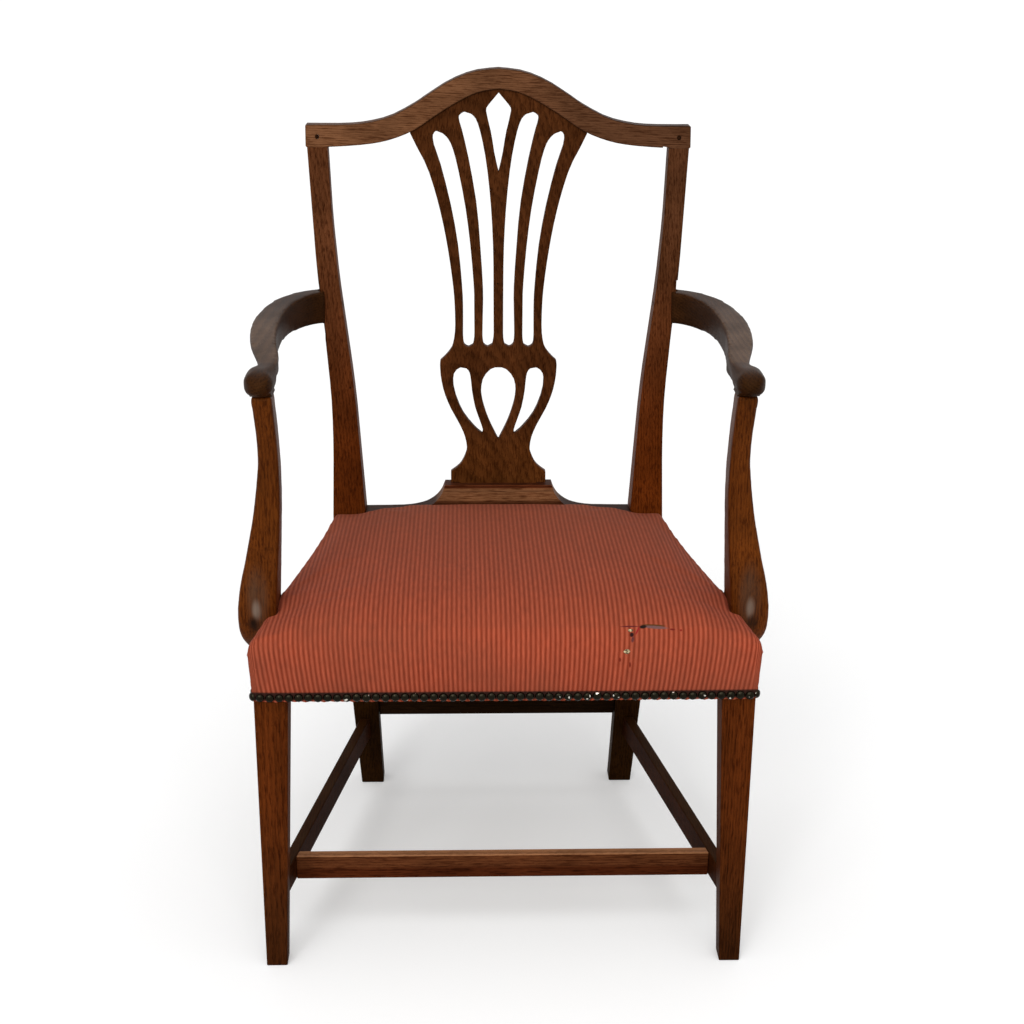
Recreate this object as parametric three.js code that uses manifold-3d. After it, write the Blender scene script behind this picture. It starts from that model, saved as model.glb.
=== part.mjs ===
// An elm elbow chair with a camel-back crest over a pierced vase splat, shaped
// arms and an over-stuffed seat. Millimetres, +Z up, the sitter faces -Y.
// While it is built, x = 0 is the middle of the chair, y = 0 the front of the
// front legs and z = 0 the floor.
import * as THREE from "three";
import { mergeVertices } from "three/addons/utils/BufferGeometryUtils.js";
import Module from "manifold-3d";

const wasm = await Module();
wasm.setup();

// Clearances
const fit = 0.3; // round a tenon, at a shoulder and under a loose layer
const over = 1; // how far a cutting tool runs past the wood

// Seat frame
const frontWidth = 550; // over the front legs
const backWidth = 420; // over the side rails where they meet the back posts
const frameDepth = 395; // front of the front legs to front of the back posts
const railTop = 400;
const railHigh = 58;
const railThick = 24;
const backRailThick = 28;
const backRailSet = 1; // back rail's face behind the posts' faces
const cornerRound = 4; // front corners of the seat frame, under the cloth
const railTenonLong = 16;
const railTenonThick = 8;
const railTenonDrop = 8; // shoulder above and below the tenon
const frontTenonSet = 6; // front rail's tenon behind the rail's face
const backTenonSet = 18; // back rail's tenon behind the rail's face
const blockLong = 45; // corner block along a rail, past the leg or post
const blockHigh = 34;
const blockSet = 4; // below the rails' top

// Front legs: square above, tapered on the two inner faces below the rails
const frontLegThick = 37.5;
const frontFootThick = 24;

// Back posts: leg and stile in one piece
const postProud = 4.5; // outside the side rails, at the seat
const postSeatWide = 42.5;
const postFootIn = 26.1; // outer face at the floor inside that at the seat
const postFootWide = 30.4;
const stileFlare = 24.2; // outer face at the top outside that at the seat
const stileTopWide = 25.7;
const postLevelUp = 10; // above the rails, where the raked stile starts
const postFootBack = 33; // foot behind the seat frame
const stileBack = 71; // stile's top behind the seat frame
const postFootDeep = 28;
const postSeatDeep = 36;
const stileTopDeep = 23;
const stileTenonWide = 14;
const stileTenonDeep = 9;
const stileTenonHigh = 18;

// Crest rail
const crestTop = 968;
const crestFall = 95; // from its top down to the stiles' tops
const crestEndHigh = 27;
const crestMidHigh = 24.5;
const crestEndPast = 1.8; // past the stiles
const crestThick = 24;
const pegRadius = 2;
const pegUp = 11; // above the joint

// Splat
const splatThick = 10;
const splatSet = 3; // behind the stiles' front faces
const splatHead = 108; // half width where it meets the crest
const splatHeadUp = 10; // above the stiles' tops
const splatTongue = 8; // housed in the crest
const splatTenonHalf = 50;
const splatTenonLong = 26;

// Shoe
const shoeHigh = 48.5;
const shoeEndHigh = 11.5;
const shoeTopHalf = 69;
const shoeEndRun = 6; // strip left level beside each post
const shoeProud = 11.5; // before the splat, at the top
const shoeFootProud = 2; // before the posts, at the foot
const shoeBackWall = 3; // behind the splat

// Arm supports
const supportY = 97; // middle of the foot
const supportFootUp = 14; // above the rail's lower edge
const supportAhead = 28; // front of the foot before its middle
const supportDeep = 56;
const supportSwell = 39; // beyond the side rail's face
const supportSunk = 5.4; // top above the arm's lowest line

// Arms
const armUp = 257; // underside above the rails
const armDeep = 40; // at the stile
const armSpread = 76; // plan, from the lap on the stile to the widest place
const armAhead = 39; // front of the arm before the middle of the support's foot
const armEndDeep = 23; // how much of the stile's side the arm's end covers
const armLap = 5; // over the stile's front
const armTenonWide = 11;
const armTenonDeep = 13;
const armTenonHigh = 14;
const armTenonOut = 2; // middle outside the side rail's face
const armTenonBack = 19; // middle behind the front of the support's foot

// Screws and plugs
const screwRadius = 2.2;
const screwHeadRadius = 4.6;
const screwHeadLong = 3;
const screwRimHigh = 1;
const armScrewLong = 32;
const supportScrewLong = 40;
const supportScrewUp = 36; // above the rail's lower edge
const plugRadius = 5;
const plugLong = 5;

// Stretchers
const stretcherLow = 78;
const stretcherHigh = 30;
const stretcherThick = 13;
const stretcherSet = 7; // side stretchers inside the legs' outer faces
const crossStretcherSet = 60; // behind the front legs' faces
const crossTenonLong = 7;
const backStretcherLow = 111;
const backStretcherSet = 7; // behind the back legs' front faces
const stretcherTenonLong = 12;
const stretcherTenonThick = 6;
const stretcherTenonDrop = 5;

// Seat
const webThick = 2;
const webWide = 50;
const canvasThick = 1;
const canvasInset = 12; // from the frame's outer faces
const canvasUnderShoe = 20;
const hemUp = 0.5; // cloth's lower edge above the rail's
const hemOut = 2; // cloth's outer face before the wood, along the nails
const frontBulge = 4;
const sideBulge = 4;
const topRoll = 6; // how far the top edge draws in
const clothThick = 1.4;
const seatFrontUp = 24; // top edge above the rails, at the front
const seatBackUp = 6; // and at the back corners
const seatCrown = 21.5;
const crownRun = 130; // from the front edge back to where the crown is full
const crownEase = 2.4; // the higher, the steeper it starts there
const crownSquareness = 3.5; // the higher, the flatter it is across
const skirtDrop = 28; // stuffing outside the rails, below their top

// Nails
const nailRadius = 4.5;
const nailHigh = 2.6;
const nailShoulder = 3.6; // radius of the dome part way up
const nailShoulderHigh = 1.6;
const nailPitch = 10.4;
const nailUp = 4.6; // centre above the rail's lower edge
const stripHigh = 4;
const stripThick = 0.8;

// Worked out from the above
const railLow = railTop - railHigh;
const frontHalf = frontWidth / 2;
const backHalf = backWidth / 2;
const sideSlope = (frontHalf - backHalf) / frameDepth;
const sideSecant = Math.hypot(1, sideSlope);
const postLevel = railTop + postLevelUp;
const postOutSeat = backHalf + postProud;
const postInSeat = postOutSeat - postSeatWide;
const postOutFoot = postOutSeat - postFootIn;
const postInFoot = postOutFoot - postFootWide;
const postOutTop = postOutSeat + stileFlare;
const postInTop = postOutTop - stileTopWide;
const crestUnder = crestTop - crestFall;
const crestUnderMid = crestTop - crestMidHigh;
const crestHalf = postOutTop + crestEndPast;
const rake = stileBack / (crestUnder - postLevel);
const canvasLow = railTop + fit + webThick + fit;
const shoeLow = canvasLow + canvasThick + fit;
const shoeTop = shoeLow + shoeHigh;
const splatHeadLevel = crestUnder + splatHeadUp;
const armUnder = railTop + armUp;
const armLevel = armUnder + armDeep / 2;
const armFront = supportY - armAhead;
const supportFoot = railLow + supportFootUp;
const supportTop = armUnder + supportSunk;
const supportFront = supportY - supportAhead;
const wayOut = 2 * (frontWidth + backWidth); // past every piece, to either side
const wayBack = 2 * (frameDepth + stileBack + postFootBack); // and behind

// Finishes
const finish = (color, roughness, metalness = 0) =>
  new THREE.MeshStandardMaterial({ color, roughness, metalness });
const elm = finish("#5e3319", 0.42);
const paleElm = finish("#64462d", 0.45);
const darkElm = finish("#45240f", 0.45);
const beech = finish("#9a7448", 0.7);
const ribbedCloth = finish("#a4503a", 0.95);
const horsehair = finish("#3a2f28", 1);
const jute = finish("#a8895c", 1);
const brass = finish("#54442a", 0.4, 0.9);
const iron = finish("#4a4846", 0.55, 0.9);

// Shapes sawn from one view: an outline from the front is (x, z), from the
// side (y, z) and from above (x, y).
const xAxis = new THREE.Vector3(1, 0, 0);
const yAxis = new THREE.Vector3(0, 1, 0);
const zAxis = new THREE.Vector3(0, 0, 1);
const frontView = new THREE.Matrix4().makeBasis(xAxis, zAxis, yAxis.clone().negate());
const sideView = new THREE.Matrix4().makeBasis(yAxis, zAxis, xAxis);

function prism(outline, depth, holes = []) {
  const shape = new THREE.Shape(outline);
  shape.holes = holes.map((hole) => new THREE.Path(hole));
  return new THREE.ExtrudeGeometry(shape, { depth, bevelEnabled: false });
}

function fromFront(outline, near, far, holes) {
  return prism(outline, far - near, holes).applyMatrix4(frontView).translate(0, far, 0);
}

function fromSide(outline, left, right) {
  return prism(outline, right - left).applyMatrix4(sideView).translate(left, 0, 0);
}

function fromAbove(outline, low, high) {
  return prism(outline, high - low).translate(0, 0, low);
}

function block(x0, x1, y0, y1, z0, z1) {
  const box = new THREE.BoxGeometry(Math.abs(x1 - x0), y1 - y0, z1 - z0);
  return box.translate((x0 + x1) / 2, (y0 + y1) / 2, (z0 + z1) / 2);
}

const at = (x, y) => new THREE.Vector2(x, y);

function through(shares, steps, place) {
  const marks = shares.map(([a, b]) => place(a, b));
  return new THREE.SplineCurve(marks).getPoints(steps);
}

// Joining and cutting
function solidOf(geometry) {
  const bare = geometry.clone();
  bare.deleteAttribute("normal");
  bare.deleteAttribute("uv");
  const merged = mergeVertices(bare);
  return new wasm.Manifold(
    new wasm.Mesh({
      numProp: 3,
      vertProperties: merged.getAttribute("position").array,
      triVerts: new Uint32Array(merged.index.array),
    }),
  );
}

function geometryOf(solid) {
  const { vertProperties, triVerts } = solid.getMesh();
  const geometry = new THREE.BufferGeometry();
  geometry.setAttribute("position", new THREE.BufferAttribute(vertProperties, 3));
  geometry.setIndex(new THREE.BufferAttribute(triVerts, 1));
  return geometry;
}

function combine(first, others, how) {
  return geometryOf(others.reduce((sum, other) => sum[how](solidOf(other)), solidOf(first)));
}

const join = (first, ...others) => combine(first, others, "add");
const cut = (first, ...others) => combine(first, others, "subtract");
const common = (first, ...others) => combine(first, others, "intersect");
const moved = (geometry, x, y, z) => geometry.clone().translate(x, y, z);

// The seat frame's plan
const flankX = (y) => frontHalf - sideSlope * y;
const flankInner = (y) => flankX(y) - railThick * sideSecant;

// Outline of the frame, right side first, with its outward direction at each
// mark. Steps say into how many stretches each edge is divided.
function frameMarks(sideSteps, cornerSteps, frontSteps, backSteps) {
  const marks = [];
  for (let i = 0; i < sideSteps; i++) {
    const y = THREE.MathUtils.lerp(cornerRound, frameDepth, i / sideSteps);
    marks.unshift({ x: flankX(y), y, out: at(1, 0) });
  }
  marks.unshift({ x: flankX(frameDepth), y: frameDepth, out: at(1, 1) });
  const centre = at(flankX(cornerRound) - cornerRound, cornerRound);
  for (let i = 1; i <= cornerSteps; i++) {
    const angle = (Math.PI / 2) * (i / cornerSteps);
    const out = at(Math.cos(angle), -Math.sin(angle));
    marks.push({ x: centre.x + out.x * cornerRound, y: centre.y + out.y * cornerRound, out });
  }
  const mirror = ({ x, y, out }) => ({ x: -x, y, out: at(-out.x, out.y) });
  const left = marks.map(mirror).reverse();
  const across = (y, half, steps, way) =>
    Array.from({ length: steps - 1 }, (_, i) => ({
      x: half * (1 - (2 * (i + 1)) / steps) * -way,
      y,
      out: at(0, way),
    }));
  return [
    ...marks,
    ...across(0, -centre.x, frontSteps, -1).reverse(),
    ...left,
    ...across(frameDepth, flankX(frameDepth), backSteps, 1),
  ];
}

// The frame's block of space, all faces moved out by grow except the back.
function frameBlock(grow, low, high) {
  const marks = frameMarks(1, 4, 1, 1);
  const outline = marks.map(({ x, y, out }) =>
    at(x + out.x * grow, y + Math.min(out.y, 0) * grow),
  );
  return fromAbove(outline, low, high);
}

// Front legs
function frontLegBlank(side) {
  const thickAt = [
    [frontFootThick, 0],
    [frontLegThick, railLow],
    [frontLegThick, railTop],
  ];
  const front = [
    at(side * frontHalf, railTop),
    at(side * frontHalf, 0),
    ...thickAt.map(([thick, z]) => at(side * (frontHalf - thick), z)),
  ];
  const flank = [at(0, railTop), at(0, 0), ...thickAt.map(([thick, z]) => at(thick, z))];
  return common(
    fromFront(front, -over, frontLegThick + over),
    fromSide(flank, -frontHalf - over, frontHalf + over),
  );
}

function frontLeg(side) {
  const waste = cut(
    block(-frontHalf - over, frontHalf + over, -over, frameDepth, railLow, railTop + over),
    frameBlock(0, railLow - over, railTop + 2 * over),
  );
  return cut(
    frontLegBlank(side),
    waste,
    sideRailTenon(side, fit),
    frontRailTenon(fit),
    sideStretcherTenon(side, fit),
  );
}

const frontLegAt = (z) =>
  frontFootThick + (frontLegThick - frontFootThick) * Math.min(z / railLow, 1);

// Back posts. Shares are of the stile's height and of its flare.
const stileOuterShares = [
  [0, 0],
  [0.1, -0.045],
  [0.214, -0.07],
  [0.324, -0.02],
  [0.434, 0.145],
  [0.542, 0.343],
  [0.65, 0.566],
  [0.784, 0.756],
  [0.888, 0.868],
  [1, 1],
];
const stileInnerShares = [
  [0, 0],
  [0.045, 0.03],
  [0.186, 0.159],
  [0.298, 0.251],
  [0.406, 0.378],
  [0.516, 0.54],
  [0.624, 0.698],
  [0.73, 0.82],
  [0.836, 0.912],
  [1, 1],
];
const stileRise = crestUnder - postLevel;

const backFace = (z) =>
  z < postLevel
    ? frameDepth + postFootBack * (1 - z / postLevel) ** 2
    : frameDepth + rake * (z - postLevel);

const postDeep = (z) =>
  z < postLevel
    ? THREE.MathUtils.lerp(postFootDeep, postSeatDeep, z / postLevel)
    : THREE.MathUtils.lerp(postSeatDeep, stileTopDeep, (z - postLevel) / stileRise);

const postInner = (z) => THREE.MathUtils.lerp(postInFoot, postInSeat, z / postLevel);

function stileEdge(shares, seat, top, side, steps) {
  return through(shares, steps, (up, out) =>
    at(side * (seat + (top - seat) * out), postLevel + stileRise * up),
  );
}

// Where the stile's edge lies at a height
function stileAt(shares, seat, top, z) {
  const edge = stileEdge(shares, seat, top, 1, shares.length * 4);
  const i = edge.findIndex((mark) => mark.y >= z);
  const share = (z - edge[i - 1].y) / (edge[i].y - edge[i - 1].y);
  return THREE.MathUtils.lerp(edge[i - 1].x, edge[i].x, share);
}

function postFlank(steps) {
  const front = [];
  const back = [];
  for (let i = 0; i <= steps; i++) {
    const z = (postLevel * i) / steps;
    front.push(at(backFace(z), z));
    back.unshift(at(backFace(z) + postDeep(z), z));
  }
  front.push(at(backFace(crestUnder), crestUnder));
  back.unshift(at(backFace(crestUnder) + postDeep(crestUnder), crestUnder));
  return [...front, ...back];
}

function backPostBlank(side) {
  const front = [
    at(side * postInFoot, 0),
    at(side * postOutFoot, 0),
    ...stileEdge(stileOuterShares, postOutSeat, postOutTop, side, 18),
    ...stileEdge(stileInnerShares, postInSeat, postInTop, side, 18).reverse(),
  ];
  return common(
    fromFront(front, 0, wayBack),
    fromSide(postFlank(7), -wayOut, wayOut),
  );
}

function stileTenon(side, slack) {
  const x = (side * (postInTop + postOutTop)) / 2;
  const z = crestUnder - over;
  const y = backFace(crestUnder + stileTenonHigh / 2) + postDeep(crestUnder) / 2;
  return block(
    x - stileTenonWide / 2 - slack,
    x + stileTenonWide / 2 + slack,
    y - stileTenonDeep / 2 - slack,
    y + stileTenonDeep / 2 + slack,
    z,
    crestUnder + stileTenonHigh + slack,
  );
}

function backPost(side) {
  return cut(
    join(backPostBlank(side), stileTenon(side, 0)),
    sideRailTenon(side, fit),
    backRailTenon(fit),
    sideStretcherTenon(side, fit),
    backStretcherTenon(fit),
    crestPeg(side, fit),
    armScrew(side, fit),
    armPlug(side, fit),
  );
}

// Crest rail. Shares are of its half width, and of the rise from its ends to
// its middle, above and below.
const crestTopShares = [
  [1, 0],
  [0.81, 0],
  [0.686, 0.037],
  [0.561, 0.147],
  [0.437, 0.37],
  [0.374, 0.515],
  [0.25, 0.782],
  [0.125, 0.947],
  [0, 1],
];
const crestUnderShares = [
  [1, 0],
  [0.87, 0],
  [0.686, 0.044],
  [0.561, 0.126],
  [0.437, 0.293],
  [0.312, 0.574],
  [0.187, 0.82],
  [0.094, 0.953],
  [0, 1],
];

function crestCurve(shares, low, high, steps) {
  const half = through(shares, steps, (out, up) =>
    at(crestHalf * out, low + (high - low) * up),
  );
  const mirrored = half.slice(0, -1).map((mark) => at(-mark.x, mark.y));
  return [...half, ...mirrored.reverse()];
}

const crestUnderCurve = () => crestCurve(crestUnderShares, crestUnder + fit, crestUnderMid, 22);

// A board that leans with the back, between two distances behind its face
function leaningSlab(near, far, low, high) {
  return fromSide(
    [
      at(backFace(low) + near, low),
      at(backFace(low) + far, low),
      at(backFace(high) + far, high),
      at(backFace(high) + near, high),
    ],
    -wayOut,
    wayOut,
  );
}

function crestPeg(side, slack) {
  const x = (side * (postInTop + postOutTop)) / 2;
  const z = crestUnder + pegUp;
  const peg = new THREE.CylinderGeometry(pegRadius + slack, pegRadius + slack, crestThick, 10);
  peg.rotateX(-Math.atan(rake));
  return peg.translate(x, backFace(z) + crestThick / 2, z);
}

function crestRail() {
  const top = crestCurve(crestTopShares, crestUnder + crestEndHigh, crestTop, 18);
  const outline = [...top, ...crestUnderCurve().reverse()];
  const board = common(
    fromFront(outline, 0, wayBack),
    leaningSlab(0, crestThick, postLevel, crestTop + over),
  );
  const mortises = [-1, 1].flatMap((side) => [stileTenon(side, fit), crestPeg(side, fit)]);
  return cut(board, ...mortises, splatHousing());
}

// Splat. Shares are of its half width at the head, and of its height from the
// shoe to the head.
const splatEdgeShares = [
  [0.568, 0.033],
  [0.489, 0.047],
  [0.432, 0.063],
  [0.385, 0.09],
  [0.377, 0.108],
  [0.398, 0.138],
  [0.449, 0.169],
  [0.514, 0.199],
  [0.58, 0.23],
  [0.648, 0.274],
  [0.684, 0.318],
  [0.693, 0.352],
];
const splatNeckShares = [
  [0.688, 0.364],
  [0.631, 0.377],
  [0.573, 0.394],
  [0.537, 0.412],
  [0.512, 0.455],
  [0.516, 0.525],
  [0.534, 0.583],
  [0.581, 0.67],
  [0.644, 0.757],
  [0.728, 0.843],
  [0.84, 0.927],
  [1, 1],
];
// Piercings: one edge up, then the other edge down. Each is [out, up], and past
// 1 the height is a share of the arch under the crest.
const outerSlotShares = [
  [
    [0.35, 0.404],
    [0.402, 0.411],
    [0.417, 0.432],
    [0.417, 0.466],
    [0.417, 0.525],
    [0.428, 0.583],
    [0.473, 0.698],
    [0.556, 0.813],
    [0.672, 0.927],
    [0.75, 0.984],
    [0.759, 1.085],
    [0.722, 1.162],
  ],
  [
    [0.65, 1.113],
    [0.6, 1.035],
    [0.545, 0.982],
    [0.481, 0.927],
    [0.39, 0.813],
    [0.33, 0.698],
    [0.291, 0.583],
    [0.285, 0.525],
    [0.285, 0.466],
    [0.285, 0.432],
    [0.299, 0.411],
  ],
];
const innerSlotShares = [
  [
    [0.125, 0.405],
    [0.173, 0.412],
    [0.187, 0.433],
    [0.187, 0.466],
    [0.181, 0.525],
    [0.183, 0.583],
    [0.212, 0.698],
    [0.254, 0.813],
    [0.333, 0.927],
    [0.41, 1.085],
    [0.456, 1.367],
    [0.453, 1.48],
    [0.398, 1.543],
  ],
  [
    [0.32, 1.501],
    [0.262, 1.395],
    [0.204, 1.085],
    [0.139, 0.927],
    [0.09, 0.813],
    [0.064, 0.698],
    [0.056, 0.583],
    [0.056, 0.525],
    [0.056, 0.466],
    [0.057, 0.433],
    [0.072, 0.412],
  ],
];
const petalShares = [
  [
    [0.19, 0.147],
    [0.245, 0.158],
    [0.29, 0.169],
    [0.391, 0.199],
    [0.46, 0.23],
    [0.522, 0.274],
    [0.537, 0.31],
    [0.514, 0.333],
    [0.45, 0.344],
  ],
  [
    [0.38, 0.341],
    [0.345, 0.331],
    [0.328, 0.31],
    [0.313, 0.274],
    [0.28, 0.23],
    [0.239, 0.199],
    [0.196, 0.169],
    [0.183, 0.156],
  ],
];
const dropShares = [
  [0, 1.925],
  [0.03, 1.861],
  [0.105, 1.706],
  [0.143, 1.607],
  [0.135, 1.48],
  [0.109, 1.282],
  [0.082, 1.085],
  [0.044, 0.955],
  [0, 0.909],
];
const heartShares = [
  [0, 0.344],
  [0.08, 0.341],
  [0.169, 0.318],
  [0.203, 0.288],
  [0.199, 0.258],
  [0.173, 0.23],
  [0.132, 0.199],
  [0.08, 0.169],
  [0, 0.13],
];
const splatRise = splatHeadLevel - shoeTop;
const archRise = crestUnderMid - splatHeadLevel;
const splatMark = (side) => (out, up) =>
  at(
    side * splatHead * out,
    shoeTop + splatRise * Math.min(up, 1) + archRise * Math.max(up - 1, 0),
  );

function pierced(shares, side, steps) {
  const [up, down] = shares;
  return [
    ...through(up, steps, splatMark(side)),
    ...through(down, steps, splatMark(side)),
  ];
}

function piercedMiddle(shares, steps) {
  return [
    ...through(shares, steps, splatMark(1)),
    ...through(shares, steps, splatMark(-1)).slice(1, -1).reverse(),
  ];
}

// The splat's top edge: the crest's underside, raised
function splatCrown(raise, half) {
  return crestUnderCurve()
    .filter((mark) => Math.abs(mark.x) < half)
    .map((mark) => at(mark.x, mark.y + raise));
}

function splatHousing() {
  const half = splatHead + fit;
  const crown = splatCrown(splatTongue + fit, half);
  const outline = [
    at(half, crestUnder),
    at(half, crown[0].y),
    ...crown,
    at(-half, crown[0].y),
    at(-half, crestUnder),
  ];
  return common(
    fromFront(outline, 0, wayBack),
    leaningSlab(splatSet - fit, splatSet + splatThick + fit, postLevel, crestTop),
  );
}

function splatTenon(slack) {
  const low = shoeTop - splatTenonLong - slack;
  return common(
    block(
      -splatTenonHalf - slack,
      splatTenonHalf + slack,
      0,
      wayBack,
      low,
      shoeTop + over,
    ),
    leaningSlab(splatSet - slack, splatSet + splatThick + slack, low, shoeTop + over),
  );
}

function splat() {
  const crown = splatCrown(splatTongue, splatHead);
  const half = [
    at(splatHead * splatEdgeShares[0][0], shoeTop + fit),
    ...through(splatEdgeShares, 24, splatMark(1)),
    ...through(splatNeckShares, 26, splatMark(1)),
    at(splatHead, crown[0].y),
  ];
  const outline = [...half, ...crown, ...half.map((mark) => at(-mark.x, mark.y)).reverse()];
  const holes = [
    ...[-1, 1].flatMap((side) => [
      pierced(outerSlotShares, side, 22),
      pierced(innerSlotShares, side, 22),
      pierced(petalShares, side, 12),
    ]),
    piercedMiddle(dropShares, 14),
    piercedMiddle(heartShares, 14),
  ];
  const board = common(
    fromFront(outline, 0, wayBack, holes),
    leaningSlab(splatSet, splatSet + splatThick, postLevel, crestTop),
  );
  return join(board, splatTenon(0));
}

// Shoe. Shares are of the run from its top block out to the strip, and of the
// height from the strip up to its top.
const shoeSweepShares = [
  [0, 1],
  [0.022, 0.83],
  [0.05, 0.66],
  [0.112, 0.437],
  [0.202, 0.249],
  [0.292, 0.139],
  [0.425, 0.055],
  [0.6, 0.013],
  [1, 0],
];

function shoe() {
  const strip = shoeLow + shoeEndHigh;
  const half = [
    ...through(shoeSweepShares, 14, (out, up) =>
      at(
        THREE.MathUtils.lerp(shoeTopHalf, postInSeat - shoeEndRun, out),
        THREE.MathUtils.lerp(strip, shoeTop, up),
      ),
    ),
    at(postOutSeat, strip),
    at(postOutSeat, shoeLow),
  ];
  const outline = [...half, ...half.map((mark) => at(-mark.x, mark.y)).reverse()];
  const flank = [
    at(frameDepth - shoeFootProud, shoeLow),
    at(frameDepth - shoeFootProud, strip),
    at(backFace(shoeTop) + splatSet - shoeProud, shoeTop),
    at(backFace(shoeTop) + splatSet + splatThick + shoeBackWall, shoeTop),
    at(frameDepth + backRailSet + backRailThick, strip),
    at(frameDepth + backRailSet + backRailThick, shoeLow),
  ];
  const bar = common(
    fromFront(outline, 0, wayBack),
    fromSide(flank, -wayOut, wayOut),
  );
  const posts = [-1, 1].flatMap((side) => [
    moved(backPostBlank(side), -side * fit, 0, 0),
    moved(backPostBlank(side), 0, -fit, 0),
    block(side * postInSeat, side * wayOut, 0, wayBack, shoeLow - over, shoeTop),
  ]);
  return cut(bar, ...posts, splatTenon(fit));
}

// Seat rails
function sideStrip(side, outerAt, wide, y0, y1, low, high) {
  const outline = [
    at(side * outerAt(y0), y0),
    at(side * outerAt(y1), y1),
    at(side * (outerAt(y1) - wide), y1),
    at(side * (outerAt(y0) - wide), y0),
  ];
  return fromAbove(outline, low, high);
}

function sideRailTenon(side, slack) {
  const set = ((railThick - railTenonThick) / 2) * sideSecant - slack;
  return sideStrip(
    side,
    (y) => flankX(y) - set,
    railTenonThick + 2 * slack,
    frontLegThick - railTenonLong - slack,
    frameDepth + railTenonLong + slack,
    railLow + railTenonDrop - slack,
    railTop - railTenonDrop + slack,
  );
}

function sideRail(side) {
  const body = sideStrip(
    side,
    flankX,
    railThick * sideSecant,
    frontLegThick + fit,
    frameDepth - fit,
    railLow,
    railTop,
  );
  return cut(join(body, sideRailTenon(side, 0)), supportScrew(side, fit));
}

function frontRailTenon(slack) {
  const reach = frontHalf - frontLegThick + railTenonLong + slack;
  return block(
    -reach,
    reach,
    frontTenonSet - slack,
    frontTenonSet + railTenonThick + slack,
    railLow + railTenonDrop - slack,
    railTop - railTenonDrop + slack,
  );
}

function frontRail() {
  const reach = frontHalf - frontLegThick - fit;
  return join(block(-reach, reach, 0, railThick, railLow, railTop), frontRailTenon(0));
}

function backRailTenon(slack) {
  const reach = postInSeat + railTenonLong + slack;
  const near = frameDepth + backRailSet + backTenonSet;
  return block(
    -reach,
    reach,
    near - slack,
    near + railTenonThick + slack,
    railLow + railTenonDrop - slack,
    railTop - railTenonDrop + slack,
  );
}

function backRail() {
  const near = frameDepth + backRailSet;
  const bar = cut(
    block(-postInSeat, postInSeat, near, near + backRailThick, railLow, railTop),
    moved(backPostBlank(-1), fit, 0, 0),
    moved(backPostBlank(1), -fit, 0, 0),
  );
  return join(bar, backRailTenon(0));
}

function frontCornerBlock(side) {
  const legInner = frontHalf - frontLegThick - fit;
  const legBack = frontLegThick + fit;
  const railFace = railThick + fit;
  const flank = (y) => flankInner(y) - fit;
  const outline = [
    at(legInner - blockLong, railFace),
    at(legInner, railFace),
    at(legInner, legBack),
    at(flank(legBack), legBack),
    at(flank(legBack + blockLong), legBack + blockLong),
  ].map((mark) => at(side * mark.x, mark.y));
  return fromAbove(outline, railTop - blockSet - blockHigh, railTop - blockSet);
}

function backCornerBlock(side) {
  const face = frameDepth - fit;
  const flank = (y) => flankInner(y) - fit;
  const outline = [
    at(flank(face), face),
    at(flank(face - blockLong), face - blockLong),
    at(flank(face) - blockLong, face),
  ].map((mark) => at(side * mark.x, mark.y));
  return fromAbove(outline, railTop - blockSet - blockHigh, railTop - blockSet);
}

// Stretchers
const stretcherMid = stretcherLow + stretcherHigh / 2;
const stretcherBack = backFace(stretcherMid);
const stretcherFall = frontHalf - THREE.MathUtils.lerp(postOutFoot, postOutSeat, stretcherMid / postLevel);
const stretcherOuter = (y) => frontHalf - stretcherSet - stretcherFall * (y / stretcherBack);

function sideStretcherTenon(side, slack) {
  const set = (stretcherThick - stretcherTenonThick) / 2 - slack;
  return sideStrip(
    side,
    (y) => stretcherOuter(y) - set,
    stretcherTenonThick + 2 * slack,
    frontLegAt(stretcherMid) - stretcherTenonLong - slack,
    stretcherBack + stretcherTenonLong + slack,
    stretcherLow + stretcherTenonDrop - slack,
    stretcherLow + stretcherHigh - stretcherTenonDrop + slack,
  );
}

function sideStretcher(side) {
  const bar = sideStrip(
    side,
    stretcherOuter,
    stretcherThick,
    frontLegAt(stretcherMid) / 2,
    stretcherBack + postFootDeep / 2,
    stretcherLow,
    stretcherLow + stretcherHigh,
  );
  const shouldered = cut(
    bar,
    moved(frontLegBlank(side), 0, fit, 0),
    moved(backPostBlank(side), 0, -fit, 0),
  );
  return cut(join(shouldered, sideStretcherTenon(side, 0)), crossStretcherTenon(fit));
}

const crossNear = crossStretcherSet;
const crossFar = crossStretcherSet + stretcherThick;

function crossStretcherTenon(slack) {
  const reach = (y) => stretcherOuter(y) - stretcherThick + crossTenonLong + slack;
  const near = crossNear + (stretcherThick - stretcherTenonThick) / 2 - slack;
  const far = near + stretcherTenonThick + 2 * slack;
  const outline = [
    at(-reach(near), near),
    at(reach(near), near),
    at(reach(far), far),
    at(-reach(far), far),
  ];
  return fromAbove(
    outline,
    stretcherLow + stretcherTenonDrop - slack,
    stretcherLow + stretcherHigh - stretcherTenonDrop + slack,
  );
}

function crossStretcher() {
  const reach = (y) => stretcherOuter(y) - stretcherThick - fit;
  const outline = [
    at(-reach(crossNear), crossNear),
    at(reach(crossNear), crossNear),
    at(reach(crossFar), crossFar),
    at(-reach(crossFar), crossFar),
  ];
  const bar = fromAbove(outline, stretcherLow, stretcherLow + stretcherHigh);
  return join(bar, crossStretcherTenon(0));
}

const backStretcherNear =
  backFace(backStretcherLow + stretcherHigh / 2) + backStretcherSet;

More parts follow.
